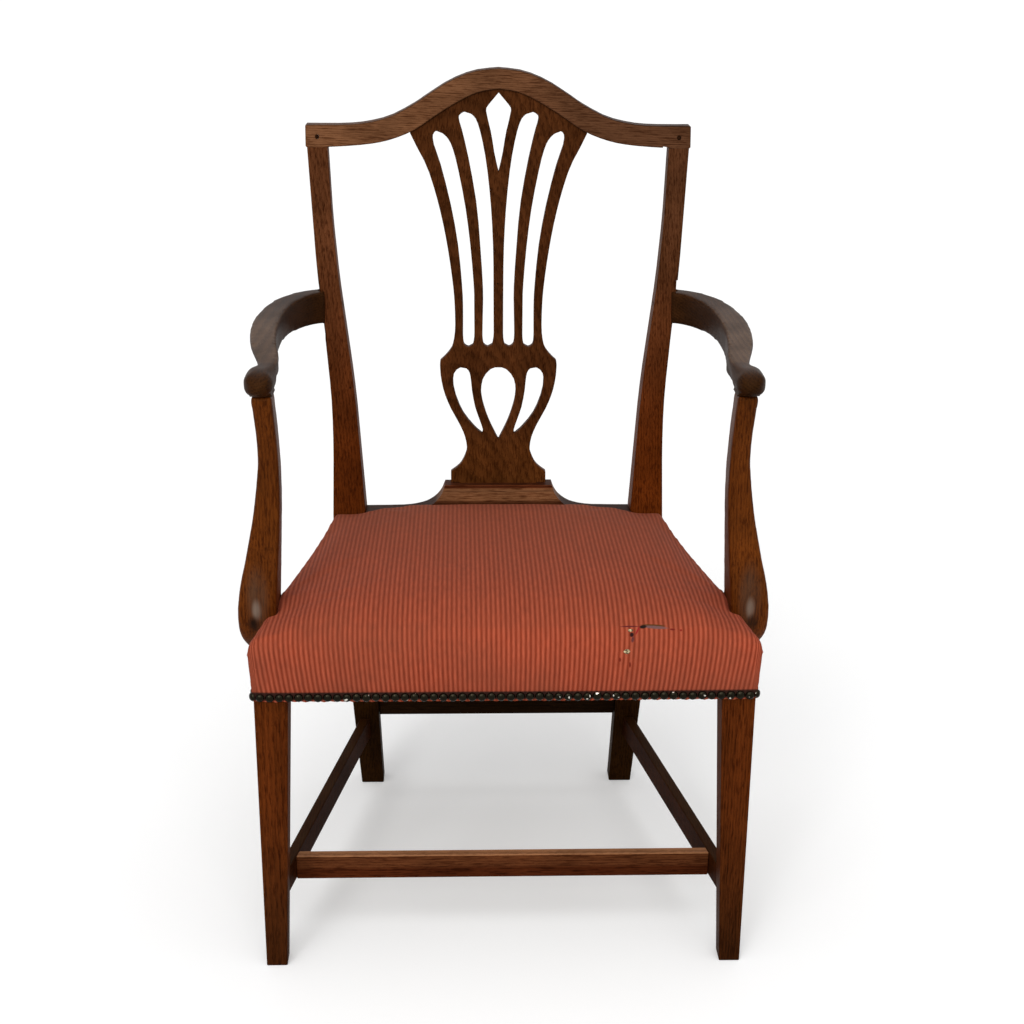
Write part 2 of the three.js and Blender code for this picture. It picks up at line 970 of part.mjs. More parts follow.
function backStretcherTenon(slack) {
  const reach = postInner(backStretcherLow) + stretcherTenonLong + slack;
  const near = backStretcherNear + (stretcherThick - stretcherTenonThick) / 2 - slack;
  return block(
    -reach,
    reach,
    near,
    near + stretcherTenonThick + 2 * slack,
    backStretcherLow + stretcherTenonDrop - slack,
    backStretcherLow + stretcherHigh - stretcherTenonDrop + slack,
  );
}

function backStretcher() {
  const reach = postInner(backStretcherLow + stretcherHigh);
  const bar = cut(
    block(
      -reach,
      reach,
      backStretcherNear,
      backStretcherNear + stretcherThick,
      backStretcherLow,
      backStretcherLow + stretcherHigh,
    ),
    moved(backPostBlank(-1), fit, 0, 0),
    moved(backPostBlank(1), -fit, 0, 0),
  );
  return join(bar, backStretcherTenon(0));
}

// Arms. From above, shares are of the spread and of the length; from the side
// of the length and of the height at the stile.
const armOuterShares = [
  [0, 1],
  [0.26, 0.977],
  [0.55, 0.932],
  [0.8, 0.852],
  [0.95, 0.734],
  [1, 0.603],
  [0.96, 0.477],
  [0.87, 0.354],
  [0.75, 0.254],
  [0.645, 0.16],
  [0.67, 0.13],
  [0.75, 0.102],
  [0.79, 0.073],
  [0.776, 0.039],
  [0.684, 0.012],
  [0.55, 0],
];
const armInnerShares = [
  [0.43, 0.008],
  [0.37, 0.035],
  [0.36, 0.1],
  [0.36, 0.16],
  [0.4, 0.262],
  [0.48, 0.354],
  [0.55, 0.477],
  [0.57, 0.59],
  [0.555, 0.693],
  [0.49, 0.785],
  [0.34, 0.862],
  [0.17, 0.91],
  [0, 0.93],
];
const armTopShares = [
  [1, 1.02],
  [0.928, 1],
  [0.826, 0.95],
  [0.703, 0.9],
  [0.477, 0.85],
  [0.303, 0.825],
  [0.16, 0.79],
  [0.115, 0.8],
  [0.07, 0.825],
  [0.032, 0.75],
  [0.008, 0.58],
  [0, 0.42],
];
const armUnderShares = [
  [0.008, 0.25],
  [0.033, 0.16],
  [0.08, 0.142],
  [0.122, 0.142],
  [0.18, 0.05],
  [0.354, 0.1],
  [0.549, 0.1],
  [0.703, 0.06],
  [0.826, 0.02],
  [0.928, 0],
  [1, 0],
];
const armRoot = stileAt(stileOuterShares, postOutSeat, postOutTop, armLevel) - armLap;
const armLong = backFace(armLevel) + armEndDeep - armFront;

function armBlank(side) {
  const above = (out, along) => at(side * (armRoot + armSpread * out), armFront + armLong * along);
  const beside = (along, up) => at(armFront + armLong * along, armUnder + armDeep * up);
  const plan = [...through(armOuterShares, 30, above), ...through(armInnerShares, 22, above)];
  const flank = [...through(armTopShares, 20, beside), ...through(armUnderShares, 16, beside)];
  return common(
    fromAbove(plan, armUnder - over, armUnder + 2 * armDeep),
    fromSide(flank, -wayOut, wayOut),
  );
}

function armTenon(side, slack) {
  const x = side * (flankX(supportY) + armTenonOut);
  const y = supportFront + armTenonBack;
  return block(
    x - armTenonWide / 2 - slack,
    x + armTenonWide / 2 + slack,
    y - armTenonDeep / 2 - slack,
    y + armTenonDeep / 2 + slack,
    supportTop - over - fit,
    supportTop + armTenonHigh + slack,
  );
}

function arm(side) {
  const post = backPostBlank(side);
  return cut(
    armBlank(side),
    moved(post, side * fit, 0, 0),
    moved(post, 0, -fit, 0),
    armTenon(side, fit),
    armScrew(side, fit),
  );
}

// Arm supports. Shares are of the height, of the swell beyond the rail and of
// the depth.
const supportOuterShares = [
  [0.44, 0],
  [0.74, 0.03],
  [0.936, 0.079],
  [1, 0.145],
  [0.974, 0.218],
  [0.885, 0.297],
  [0.74, 0.376],
  [0.615, 0.455],
  [0.487, 0.535],
  [0.4, 0.61],
  [0.28, 0.723],
  [0.256, 0.805],
  [0.295, 0.914],
  [0.36, 1],
];
const supportInnerShares = [
  [-0.24, 1],
  [-0.295, 0.87],
  [-0.32, 0.76],
  [-0.31, 0.61],
  [-0.24, 0.455],
  [-0.167, 0.297],
  [-0.13, 0.2],
  [-0.05, 0],
];
const supportFrontShares = [
  [0.41, 0],
  [0.14, 0.079],
  [0.035, 0.145],
  [0, 0.218],
  [0.05, 0.297],
  [0.2, 0.455],
  [0.27, 0.61],
  [0.23, 0.76],
  [0.16, 0.87],
  [0.07, 1],
];
const supportBackShares = [
  [0.61, 1],
  [0.7, 0.87],
  [0.77, 0.76],
  [0.86, 0.61],
  [0.93, 0.455],
  [0.98, 0.297],
  [1, 0.145],
  [0.91, 0],
];

function supportBlank(side) {
  const up = (share) => THREE.MathUtils.lerp(supportFoot, supportTop - fit, share);
  const ahead = (out, high) => at(side * (flankX(supportY) + supportSwell * out), up(high));
  const beside = (back, high) => at(supportFront + supportDeep * back, up(high));
  const front = [
    ...through(supportOuterShares, 22, ahead),
    ...through(supportInnerShares, 12, ahead),
  ];
  const flank = [
    ...through(supportFrontShares, 18, beside),
    ...through(supportBackShares, 12, beside),
  ];
  return common(fromFront(front, 0, frameDepth), fromSide(flank, -wayOut, wayOut));
}

function armSupport(side) {
  return cut(
    join(supportBlank(side), armTenon(side, 0)),
    frameBlock(fit, railLow - over, railTop + fit),
    supportScrew(side, fit),
  );
}

// Screws and plugs
function screw(long, slack) {
  const wide = screwHeadRadius + slack;
  const shank = screwRadius + slack;
  const profile = [
    at(0, -slack),
    at(wide, -slack),
    at(wide, screwRimHigh),
    at(shank, screwHeadLong),
    at(shank, long - 2 * screwRadius),
    at(0, long + slack),
  ];
  return new THREE.LatheGeometry(profile, 10);
}

function armScrew(side, slack) {
  const x = stileAt(stileInnerShares, postInSeat, postInTop, armLevel) + plugLong + fit;
  return screw(armScrewLong, slack)
    .rotateZ((-side * Math.PI) / 2)
    .translate(side * (x + fit), backFace(armLevel) + postDeep(armLevel) / 2, armLevel);
}

function armPlug(side, slack) {
  const x = stileAt(stileInnerShares, postInSeat, postInTop, armLevel);
  const long = plugLong + slack;
  return new THREE.CylinderGeometry(plugRadius + slack, plugRadius + slack, long, 12)
    .rotateZ(Math.PI / 2)
    .translate(
      side * (x + long / 2),
      backFace(armLevel) + postDeep(armLevel) / 2,
      armLevel,
    );
}

function supportScrew(side, slack) {
  return screw(supportScrewLong, slack)
    .rotateZ((-side * Math.PI) / 2)
    .translate(side * flankInner(supportY), supportY, railLow + supportScrewUp);
}

// Seat. Wall shares are [height, bulge, roll] from the hem to the top edge,
// crown shares are of the way out from the seat's middle.
const wallShares = [
  [0, 0, 0],
  [0.11, 0, 0],
  [0.26, 0.45, 0],
  [0.46, 0.85, 0],
  [0.68, 1, 0],
  [0.87, 0.75, 0.2],
  [1, 0, 1],
];
const crownShares = [0.96, 0.9, 0.82, 0.7, 0.55, 0.38, 0.2];

// The seat's top: from level edges it swells to a flat middle, which runs on
// to the back.
function seatTop(x, y) {
  const edge = railTop + THREE.MathUtils.lerp(seatFrontUp, seatBackUp, y / frameDepth);
  const half = flankX(y) + hemOut - topRoll;
  const across = 1 - Math.min(Math.abs(x) / half, 1) ** crownSquareness;
  const run = THREE.MathUtils.clamp((y + hemOut - topRoll) / crownRun, 0, 1);
  return edge + seatCrown * across * (1 - (1 - run) ** crownEase);
}

// The seat's outer form, or the same drawn in all round, closed underneath
function seatForm(inset, low) {
  const marks = frameMarks(8, 3, 12, 8);
  const rings = wallShares.map(([high, bulge, roll]) =>
    marks.map(({ x, y, out }) => {
      const draw = hemOut - topRoll * roll - inset;
      const side = draw + sideBulge * bulge;
      const front = draw + frontBulge * bulge;
      const forth = out.y < 0 ? out.y * front : -out.y * (fit + inset);
      const top = seatTop(x, y) - inset * roll;
      const z = THREE.MathUtils.lerp(low, top, high);
      return new THREE.Vector3(x + out.x * side, y + forth, z);
    }),
  );
  const edge = rings.at(-1);
  const middle = new THREE.Vector3(0, frameDepth / 2, 0);
  const onTop = (mark) => mark.setZ(seatTop(mark.x, mark.y) - inset);
  for (const share of crownShares) {
    rings.push(edge.map((mark) => onTop(middle.clone().lerp(mark, share))));
  }
  const pole = onTop(middle.clone());
  const foot = middle.clone().setZ(low);
  return closedRings(rings, foot, pole);
}

// A closed skin over rings of marks that run the same way round
function closedRings(rings, foot, pole) {
  const count = rings[0].length;
  const marks = [...rings.flat(), foot, pole];
  const index = [];
  for (let i = 0; i < count; i++) {
    const next = (i + 1) % count;
    rings.slice(1).forEach((_, r) => {
      const low = r * count;
      const high = low + count;
      index.push(low + i, high + i, low + next, low + next, high + i, high + next);
    });
    const last = (rings.length - 1) * count;
    index.push(i, next, rings.length * count);
    index.push(last + next, last + i, rings.length * count + 1);
  }
  const geometry = new THREE.BufferGeometry().setFromPoints(marks);
  geometry.setIndex(index);
  return geometry;
}

// Copies of a piece shifted by the clearance, to cut room for it
const around = (geometry, ...ways) =>
  ways.map(([x, y, z]) => moved(geometry, x * fit, y * fit, z * fit));

// What the soft layers leave free: the arm supports' feet and the shoe
function seatNotches() {
  const feet = [-1, 1].flatMap((side) =>
    around(supportBlank(side), [-side, 1, 0], [-side, -1, 0], [0, 0, -1]),
  );
  return [...feet, ...around(shoe(), [-1, 0, 0], [1, 0, 0], [0, -1, 0], [0, -1, 1])];
}

function seatCover() {
  const low = railLow + hemUp;
  const shell = cut(seatForm(0, low), seatForm(clothThick, low - over));
  return cut(shell, frameBlock(fit, low - over, shoeLow), ...seatNotches());
}

function seatStuffing() {
  const form = seatForm(clothThick + fit, railLow + hemUp);
  return cut(
    form,
    frameBlock(fit, railLow - over, shoeLow),
    block(-wayOut, wayOut, -frameDepth, wayBack, railLow - over, railTop - skirtDrop),
    ...seatNotches(),
  );
}

function webbing() {
  const low = railTop + fit;
  const high = low + webThick;
  const bands = [];
  const along = 4;
  for (let i = 0; i < along; i++) {
    const x = (backWidth - 2 * railThick) * ((i + 0.5) / along - 0.5);
    const near = railThick / 2;
    const far = frameDepth + backRailSet + backRailThick / 2;
    bands.push(block(x - webWide / 2, x + webWide / 2, near, far, low, high));
  }
  const across = 3;
  for (let i = 0; i < across; i++) {
    const y = frontLegThick + (frameDepth - frontLegThick) * ((i + 0.5) / across);
    const half = flankX(y + webWide / 2) - railThick / 2;
    bands.push(block(-half, half, y - webWide / 2, y + webWide / 2, low, high));
  }
  return join(...bands);
}

function baseCanvas() {
  const half = [
    at(flankX(canvasInset) - canvasInset, canvasInset),
    at(flankX(frameDepth) - canvasInset, frameDepth - canvasInset),
    at(postInSeat - canvasInset, frameDepth - canvasInset),
    at(postInSeat - canvasInset, frameDepth + canvasUnderShoe),
  ];
  const outline = [...half, ...half.map((mark) => at(-mark.x, mark.y)).reverse()];
  return fromAbove(outline, canvasLow, canvasLow + canvasThick);
}

// Nails: domed heads on a thin strip, as one row
function nailRow(from, to, turn) {
  const run = to.clone().sub(from);
  const long = run.length();
  const count = Math.floor((long - 2 * nailRadius) / nailPitch) + 1;
  const z = railLow + nailUp;
  const profile = [
    at(0, 0),
    at(nailRadius, 0),
    at(nailShoulder, nailShoulderHigh),
    at(0, nailHigh),
  ];
  const heads = Array.from({ length: count }, (_, i) => {
    const along = long / 2 + nailPitch * (i - (count - 1) / 2);
    return new THREE.LatheGeometry(profile, 6)
      .rotateX(Math.PI)
      .translate(along, 0, z);
  });
  const strip = block(0, long, -stripThick, 0, z - stripHigh / 2, z + stripHigh / 2);
  return join(strip, ...heads).rotateZ(turn).translate(from.x, from.y, 0);
}

function frontNails() {
  const reach = flankX(cornerRound) - cornerRound;
  const y = -hemOut - fit;
  return nailRow(at(-reach, y), at(reach, y), 0);
}

function sideNails(side) {
  const near = at(flankX(cornerRound) + hemOut + fit, cornerRound);
  const far = at(flankX(frameDepth) + hemOut + fit, frameDepth - fit);
  const turn = Math.atan2(far.y - near.y, far.x - near.x);
  if (side > 0) return nailRow(near, far, turn);
  return nailRow(at(-far.x, far.y), at(-near.x, near.y), -turn);
}

// The chair, with its origin on the floor under the middle of its box
const chair = new THREE.Group();

function add(name, geometry, material) {
  const facets = geometry.index ? geometry.toNonIndexed() : geometry;
  facets.computeVertexNormals();
  const mesh = new THREE.Mesh(facets, material.clone());
  mesh.name = name;
  chair.add(mesh);
}

for (const [hand, side] of [
  ["left", -1],
  ["right", 1],
]) {
  add("front_leg_" + hand, frontLeg(side), elm);
  add("back_post_" + hand, backPost(side), elm);
  add("crest_peg_" + hand, crestPeg(side, 0), darkElm);
  add("side_rail_" + hand, sideRail(side), beech);
  add("front_corner_block_" + hand, frontCornerBlock(side), beech);
  add("back_corner_block_" + hand, backCornerBlock(side), beech);
  add("side_stretcher_" + hand, sideStretcher(side), darkElm);
  add("arm_" + hand, arm(side), elm);
  add("arm_support_" + hand, armSupport(side), elm);
  add("arm_screw_" + hand, armScrew(side, 0), iron);
  add("arm_plug_" + hand, armPlug(side, 0), darkElm);
  add("support_screw_" + hand, supportScrew(side, 0), iron);
  add("side_nails_" + hand, sideNails(side), brass);
}
add("crest_rail", crestRail(), paleElm);
add("splat", splat(), darkElm);
add("shoe", shoe(), elm);
add("front_rail", frontRail(), beech);
add("back_rail", backRail(), elm);
add("cross_stretcher", crossStretcher(), darkElm);
add("back_stretcher", backStretcher(), darkElm);
add("seat_webbing", webbing(), jute);
add("base_canvas", baseCanvas(), jute);
add("seat_stuffing", seatStuffing(), horsehair);
add("seat_cover", seatCover(), ribbedCloth);
add("front_nails", frontNails(), brass);

const box = new THREE.Box3().setFromObject(chair);
chair.position.set(-(box.min.x + box.max.x) / 2, -(box.min.y + box.max.y) / 2, -box.min.z);

export default chair;
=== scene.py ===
import math
import random

import bpy
import numpy as np
from mathutils import Matrix, Vector
from mathutils.bvhtree import BVHTree
from mathutils.kdtree import KDTree


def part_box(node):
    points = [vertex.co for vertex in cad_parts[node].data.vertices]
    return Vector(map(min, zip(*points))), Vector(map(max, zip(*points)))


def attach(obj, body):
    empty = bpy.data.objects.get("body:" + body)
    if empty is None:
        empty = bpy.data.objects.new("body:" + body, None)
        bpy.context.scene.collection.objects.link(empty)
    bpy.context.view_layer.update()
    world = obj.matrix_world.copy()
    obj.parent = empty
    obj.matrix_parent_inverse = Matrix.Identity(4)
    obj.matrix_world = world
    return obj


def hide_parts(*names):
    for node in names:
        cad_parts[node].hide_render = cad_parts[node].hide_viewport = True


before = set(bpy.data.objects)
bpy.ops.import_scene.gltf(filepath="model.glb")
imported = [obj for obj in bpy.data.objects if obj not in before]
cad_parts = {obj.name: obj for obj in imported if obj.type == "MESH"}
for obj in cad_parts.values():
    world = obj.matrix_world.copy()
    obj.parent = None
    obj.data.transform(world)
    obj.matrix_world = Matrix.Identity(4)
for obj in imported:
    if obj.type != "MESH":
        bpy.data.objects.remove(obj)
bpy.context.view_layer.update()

# Front legs. Square elm legs, planed to a taper on their two inner faces and
# sawn off at the floor. They are one with the corners of the seat frame, and
# two centuries of shoes and mops have rounded their edges and feet.
MM = 0.001


def linear(code):
    """An sRGB hex colour as the linear values that a shader's socket holds."""
    parts = [int(code[i : i + 2], 16) / 255 for i in (1, 3, 5)]
    bent = [p / 12.92 if p <= 0.04045 else ((p + 0.055) / 1.055) ** 2.4 for p in parts]
    return (*bent, 1.0)


def add(tree, kind, sockets=None, **settings):
    """One node with its settings, values and links. A socket as a value is a link."""
    made = tree.nodes.new("ShaderNode" + kind)
    for name, value in settings.items():
        setattr(made, name, value)
    for name, value in (sockets or {}).items():
        if isinstance(value, bpy.types.NodeSocket):
            tree.links.new(value, made.inputs[name])
        else:
            made.inputs[name].default_value = value
    return made


def repeats(spacing):
    """The scale at which a wave texture repeats at a spacing."""
    return 2 * math.pi / (20 * spacing)


# Elm, sawn, scraped and waxed. Each year's band of open pores, 2 to 4 mm from the
# last, holds dark wax, so its faces are streaked along the grain; old wax makes it
# satin, and beetles have left dark holes. The pores between the streaks are 0.3 mm
# wide, too fine to show, so they are drawn as flecks of 1.6 mm. The hidden beech and
# the oak pegs are made alike, with finer rings.
def elm(name, dark, light, turn=(0, 0, 0), heart=(0.16, 0.09, 0), ring=3.2 * MM,
        wear_and_painted_light=None, wear_and_painted_light_between=(), wear_and_painted_light_amount=1.7, gloss=0.46, shine=0.04, holes=0.5,
        fades=(), painted_spots=()):
    """Wood between two colours, its grain upright until it is turned.

    The heart is where the rings' middle lies, and ring is how far apart they are.
    Faces that look up take the colour wear_and_painted_light, from each place in
    wear_and_painted_light_between on along Y, or up to it where its softness is negative:
    wear on the stretchers, partly wear and partly painted sheen on the arms' tops, and a
    darker colour on the crest's and the shoe's upper faces. Each of fades is an axis, where
    on it a tint is full, where it ends, and the tint. The painted_spots are painted
    highlights and shadows, each its middle, half sizes, colour and share.
    """
    made = bpy.data.materials.new(name)
    made.use_nodes = True
    tree = made.node_tree
    tree.nodes.clear()
    place = add(tree, "TexCoord")
    spot = add(tree, "SeparateXYZ", {0: place.outputs["Object"]})
    along = add(tree, "Mapping", {"Vector": place.outputs["Object"], "Rotation": turn,
                                  "Location": heart})
    # drawn out eleven times along the grain: rings, flecks of 1.6 mm, figure of 22 mm
    drawn = add(tree, "Mapping", {"Vector": along.outputs[0], "Scale": (1, 1, 0.09)})
    rings = add(tree, "TexWave", {"Vector": drawn.outputs[0], "Scale": repeats(ring),
                                  "Distortion": 5.5, "Detail": 3, "Detail Scale": 14,
                                  "Detail Roughness": 0.6},
                wave_type="RINGS", rings_direction="Z", wave_profile="SAW")
    flecks = add(tree, "TexNoise", {"Vector": drawn.outputs[0], "Scale": 620, "Detail": 2})
    figure = add(tree, "TexNoise", {"Vector": drawn.outputs[0], "Scale": 46, "Detail": 4,
                                    "Roughness": 0.62})
    # patches of 60 mm where it is handled or cleaned less or more
    patches = add(tree, "TexNoise", {"Vector": place.outputs["Object"], "Scale": 17,
                                     "Detail": 4})
    streak = add(tree, "Math", {0: rings.outputs["Fac"], 1: 2.2}, operation="POWER")
    pores = add(tree, "MapRange", {"Value": flecks.outputs["Fac"], "From Min": 0.5,
                                   "From Max": 0.66})
    tone = add(tree, "MapRange", {"Value": figure.outputs["Fac"], "From Min": 0.36,
                                  "From Max": 0.66})
    blend = add(tree, "Math", {0: streak.outputs[0], 1: 0.62}, operation="MULTIPLY")
    blend = add(tree, "Math", {0: tone.outputs[0], 1: 0.42, 2: blend.outputs[0]},
                operation="MULTIPLY_ADD", use_clamp=True)
    wood = add(tree, "Mix", {0: blend.outputs[0], 6: linear(light), 7: linear(dark)},
               data_type="RGBA")
    deep = add(tree, "Mix", {0: pores.outputs[0], 6: wood.outputs[2],
                             7: (0.5, 0.42, 0.36, 1)}, data_type="RGBA",
               blend_type="MULTIPLY")
    last = deep.outputs[2]
    # faces that look up take another colour: wear on the stretchers, painted sheen mixed with
    # wear on the arms' tops
    if wear_and_painted_light:
        up = add(tree, "SeparateXYZ", {0: place.outputs["Normal"]})
        lift = add(tree, "MapRange", {"Value": up.outputs["Z"], "From Min": 0.35,
                                      "From Max": 0.85, "To Max": 0.8})
        wear_and_painted_light_mask = add(tree, "Math", {0: lift.outputs[0], 1: patches.outputs["Fac"]},
                  operation="MULTIPLY")
        wear_and_painted_light_mask = add(tree, "Math", {0: wear_and_painted_light_mask.outputs[0], 1: wear_and_painted_light_amount}, operation="MULTIPLY",
                  use_clamp=True)
        kept = add(tree, "MapRange", {"Value": streak.outputs[0], "From Max": 0.5,
                                      "To Min": 1.0, "To Max": 0.45})
        wear_and_painted_light_mask = add(tree, "Math", {0: wear_and_painted_light_mask.outputs[0], 1: kept.outputs[0]},
                  operation="MULTIPLY")
        for where, softness in wear_and_painted_light_between:
            behind = add(tree, "MapRange", {"Value": spot.outputs["Y"],
                                            "From Min": where - softness,
                                            "From Max": where + softness})
            wear_and_painted_light_mask = add(tree, "Math", {0: wear_and_painted_light_mask.outputs[0], 1: behind.outputs[0]},
                      operation="MULTIPLY")
        bare = add(tree, "Mix", {0: wear_and_painted_light_mask.outputs[0], 6: last, 7: linear(wear_and_painted_light)},
                   data_type="RGBA")
        last = bare.outputs[2]
    blotch = add(tree, "MapRange", {"Value": patches.outputs["Fac"], "From Min": 0.3,
                                    "From Max": 0.7, "To Min": 0.78, "To Max": 1.18})
    tinted = add(tree, "HueSaturation", {"Color": last, "Value": blotch.outputs[0]})
    last = tinted.outputs[0]
    for axis, low, high, tint in fades:
        depth = add(tree, "MapRange", {"Value": spot.outputs[axis], "From Min": low,
                                       "From Max": high, "To Min": 1.0, "To Max": 0.0},
                    interpolation_type="SMOOTHSTEP")
        shaded = add(tree, "Mix", {0: depth.outputs[0], 6: last, 7: linear(tint)},
                     data_type="RGBA", blend_type="MULTIPLY")
        last = shaded.outputs[2]
    # painted highlights and shadows, each a soft spot laid over the wood
    for middle, half, tint, share in painted_spots:
        inside = add(tree, "Mapping", {"Vector": place.outputs["Object"],
                                       "Location": middle, "Scale": half},
                     vector_type="TEXTURE")
        inside = add(tree, "TexGradient", {"Vector": inside.outputs[0]},
                     gradient_type="SPHERICAL")
        inside = add(tree, "MapRange", {"Value": inside.outputs["Fac"], "From Max": 0.8,
                                        "To Max": share}, interpolation_type="SMOOTHSTEP")
        across = add(tree, "MapRange", {"Value": figure.outputs["Fac"], "From Min": 0.4,
                                        "From Max": 0.6, "To Min": 1.0, "To Max": 0.5})
        inside = add(tree, "Math", {0: inside.outputs[0], 1: across.outputs[0]},
                     operation="MULTIPLY")
        painted_spot = add(tree, "Mix", {0: inside.outputs[0], 6: last, 7: linear(tint)},
                        data_type="RGBA")
        last = painted_spot.outputs[2]
    # beetles' flight holes, 2 mm wide, in cells of 30 mm
    cells = add(tree, "TexVoronoi", {"Vector": place.outputs["Object"], "Scale": 34})
    near = add(tree, "MapRange", {"Value": cells.outputs["Distance"], "From Min": 0.045,
                                  "From Max": 0.03})
    which = add(tree, "SeparateColor", {0: cells.outputs["Color"]})
    some = add(tree, "Math", {0: which.outputs[0], 1: 1 - holes}, operation="GREATER_THAN")
    hole = add(tree, "Math", {0: near.outputs[0], 1: some.outputs[0]}, operation="MULTIPLY")
    bored = add(tree, "Mix", {0: hole.outputs[0], 6: last, 7: linear("#120903")},
                data_type="RGBA")
    rough = add(tree, "MapRange", {"Value": patches.outputs["Fac"], "To Min": gloss + 0.1,
                                   "To Max": gloss - 0.04})
    relief = add(tree, "Math", {0: streak.outputs[0], 1: -0.4}, operation="MULTIPLY")
    relief = add(tree, "Math", {0: pores.outputs[0], 1: -0.6, 2: relief.outputs[0]},
                 operation="MULTIPLY_ADD")
    relief = add(tree, "Math", {0: hole.outputs[0], 1: -6.0, 2: relief.outputs[0]},
                 operation="MULTIPLY_ADD")
    bump = add(tree, "Bump", {"Height": relief.outputs[0], "Strength": 0.35,
                              "Distance": 0.25 * MM})
    skin = add(tree, "BsdfPrincipled", {"Base Color": bored.outputs[2],
                                        "Roughness": rough.outputs[0],
                                        "Specular IOR Level": shine,
                                        "Specular Tint": linear("#e0a878"),
                                        "Normal": bump.outputs[0]})
    add(tree, "OutputMaterial", {0: skin.outputs[0]})
    return made


def only(piece):
    """Makes a piece the one that operators act on."""
    if bpy.context.object and bpy.context.object.mode != "OBJECT":
        bpy.ops.object.mode_set(mode="OBJECT")
    bpy.ops.object.select_all(action="DESELECT")
    piece.select_set(True)
    bpy.context.view_layer.objects.active = piece


def open_whole(piece):
    """Opens a piece for editing with all of it selected."""
    only(piece)
    bpy.ops.object.mode_set(mode="EDIT")
    bpy.ops.mesh.select_all(action="SELECT")


def settle(piece, material, slot, *nodes):
    """Gives a finished piece its finish and its body, and hides the CAD nodes it stands in for.
    The slot is not used.
    """
    piece.data.materials.clear()
    piece.data.materials.append(material)
    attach(piece, "root")
    if nodes:
        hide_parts(*nodes)


def blank(name, *nodes):
    """A new piece with the shape of CAD nodes, its triangles merged into whole faces."""
    copies = []
    for node in nodes:
        copy = bpy.data.objects.new(name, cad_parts[node].data.copy())
        bpy.context.scene.collection.objects.link(copy)
        copies.append(copy)
    only(copies[0])
    for copy in copies:
        copy.select_set(True)
    if len(copies) > 1:
        bpy.ops.object.join()
    piece = bpy.context.object
    bpy.ops.mesh.customdata_custom_splitnormals_clear()
    open_whole(piece)
    bpy.ops.mesh.remove_doubles(threshold=0.002 * MM)
    bpy.ops.mesh.dissolve_limited(angle_limit=math.radians(0.8))
    bpy.ops.object.mode_set(mode="OBJECT")
    return piece


def skin_of(mesh):
    """A mesh's surface, to measure from or to shoot at."""
    mesh.calc_loop_triangles()
    return BVHTree.FromPolygons([v.co[:] for v in mesh.vertices],
                                [t.vertices[:] for t in mesh.loop_triangles])


skins = {name: skin_of(node.data) for name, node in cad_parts.items()}


def touches(mark, own, reach=0.9 * MM):
    """Whether a CAD node that isn't one of a piece's own lies within reach of a mark."""
    return any(name not in own and skin.find_nearest(mark, reach)[0] is not None
               for name, skin in skins.items())


def apply(piece, kind, **settings):
    """Adds a modifier to a piece and applies it."""
    only(piece)
    bpy.ops.object.modifier_add(type=kind)
    made = piece.modifiers[-1]
    for name, value in settings.items():
        setattr(made, name, value)
    bpy.ops.object.modifier_apply(modifier=made.name)


def round_arrises(piece, own, radius, steps=3, chosen=None):
    """Rounds the sharp edges that are free. Those that meet a neighbour stay crisp."""
    only(piece)
    bpy.ops.object.mode_set(mode="EDIT")
    bpy.ops.mesh.select_mode(type="EDGE")
    bpy.ops.mesh.select_all(action="DESELECT")
    bpy.ops.mesh.edges_select_sharp(sharpness=math.radians(38))
    bpy.ops.object.mode_set(mode="OBJECT")
    mesh = piece.data
    for edge in mesh.edges:
        if edge.select:
            a, b = (mesh.vertices[i].co for i in edge.vertices)
            middle = (a + b) / 2
            if touches(middle, own) or (chosen and not chosen(middle)):
                edge.select = False
    bpy.ops.object.mode_set(mode="EDIT")
    bpy.ops.mesh.bevel(offset=radius, segments=steps, profile=0.5, clamp_overlap=False)
    bpy.ops.object.mode_set(mode="OBJECT")


def smooth_faces(piece, angle=42):
    """Shades a piece smooth, but for edges sharper than an angle."""
    only(piece)
    bpy.ops.object.shade_smooth_by_angle(angle=math.radians(angle))
    apply(piece, "WEIGHTED_NORMAL", keep_sharp=True)


leg_elm = elm("waxed elm, legs", "#341504", "#5e2b0d", holes=0.62,
              fades=[("Z", 0.03, 0.26, "#bccde8")])
under_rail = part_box("front_rail")[0].z
for side in ("left", "right"):
    node = "front_leg_" + side
    leg = blank("leg_" + side, node)
    open_whole(leg)
    bpy.ops.mesh.bisect(plane_co=(0, 0, under_rail - 1 * MM), plane_no=(0, 0, 1))
    bpy.ops.object.mode_set(mode="OBJECT")
    round_arrises(leg, [node], 1.4 * MM, chosen=lambda mark: mark.z < under_rail - 2 * MM)
    # no edge swells past the sawn leg
    low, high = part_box(node)
    for v in leg.data.vertices:
        v.co.x = min(max(v.co.x, low.x), high.x)
        v.co.y = min(max(v.co.y, low.y), high.y)
    smooth_faces(leg)
    settle(leg, leg_elm, "elm_frame", node)

# Back posts. Each is a back leg and a stile sawn from one elm plank, swept
# back below and above the seat and flaring out to the crest. The free edges
# are rubbed round, and the stiles are redder than the crest.
# below the seat the back legs are darker: partly grime, partly painted shade
grime_and_shade_below_seat = ("Z", 0.30, 0.40, "#84abc3")
for side, fades in (("left", [("Z", 0.46, 0.80, "#e8bc7c"), grime_and_shade_below_seat]),
                    # the right stile's upper part is painted darker, as shade on the side away
                    # from the light
                    ("right", [("Z", 0.46, 0.80, "#ffcc80"), ("Z", 0.82, 0.50, "#dde4ea"),
                               grime_and_shade_below_seat])):
    post_elm = elm("waxed elm, stile on the " + side, "#3e200d", "#643a22",
                   heart=(0.3, -0.1, 0), ring=3.6 * MM, holes=0.5, fades=fades)
    node = "back_post_" + side
    post = blank("post_" + side, node)
    round_arrises(post, [node], 1.8 * MM)
    smooth_faces(post)
    settle(post, post_elm, "elm_frame", node)

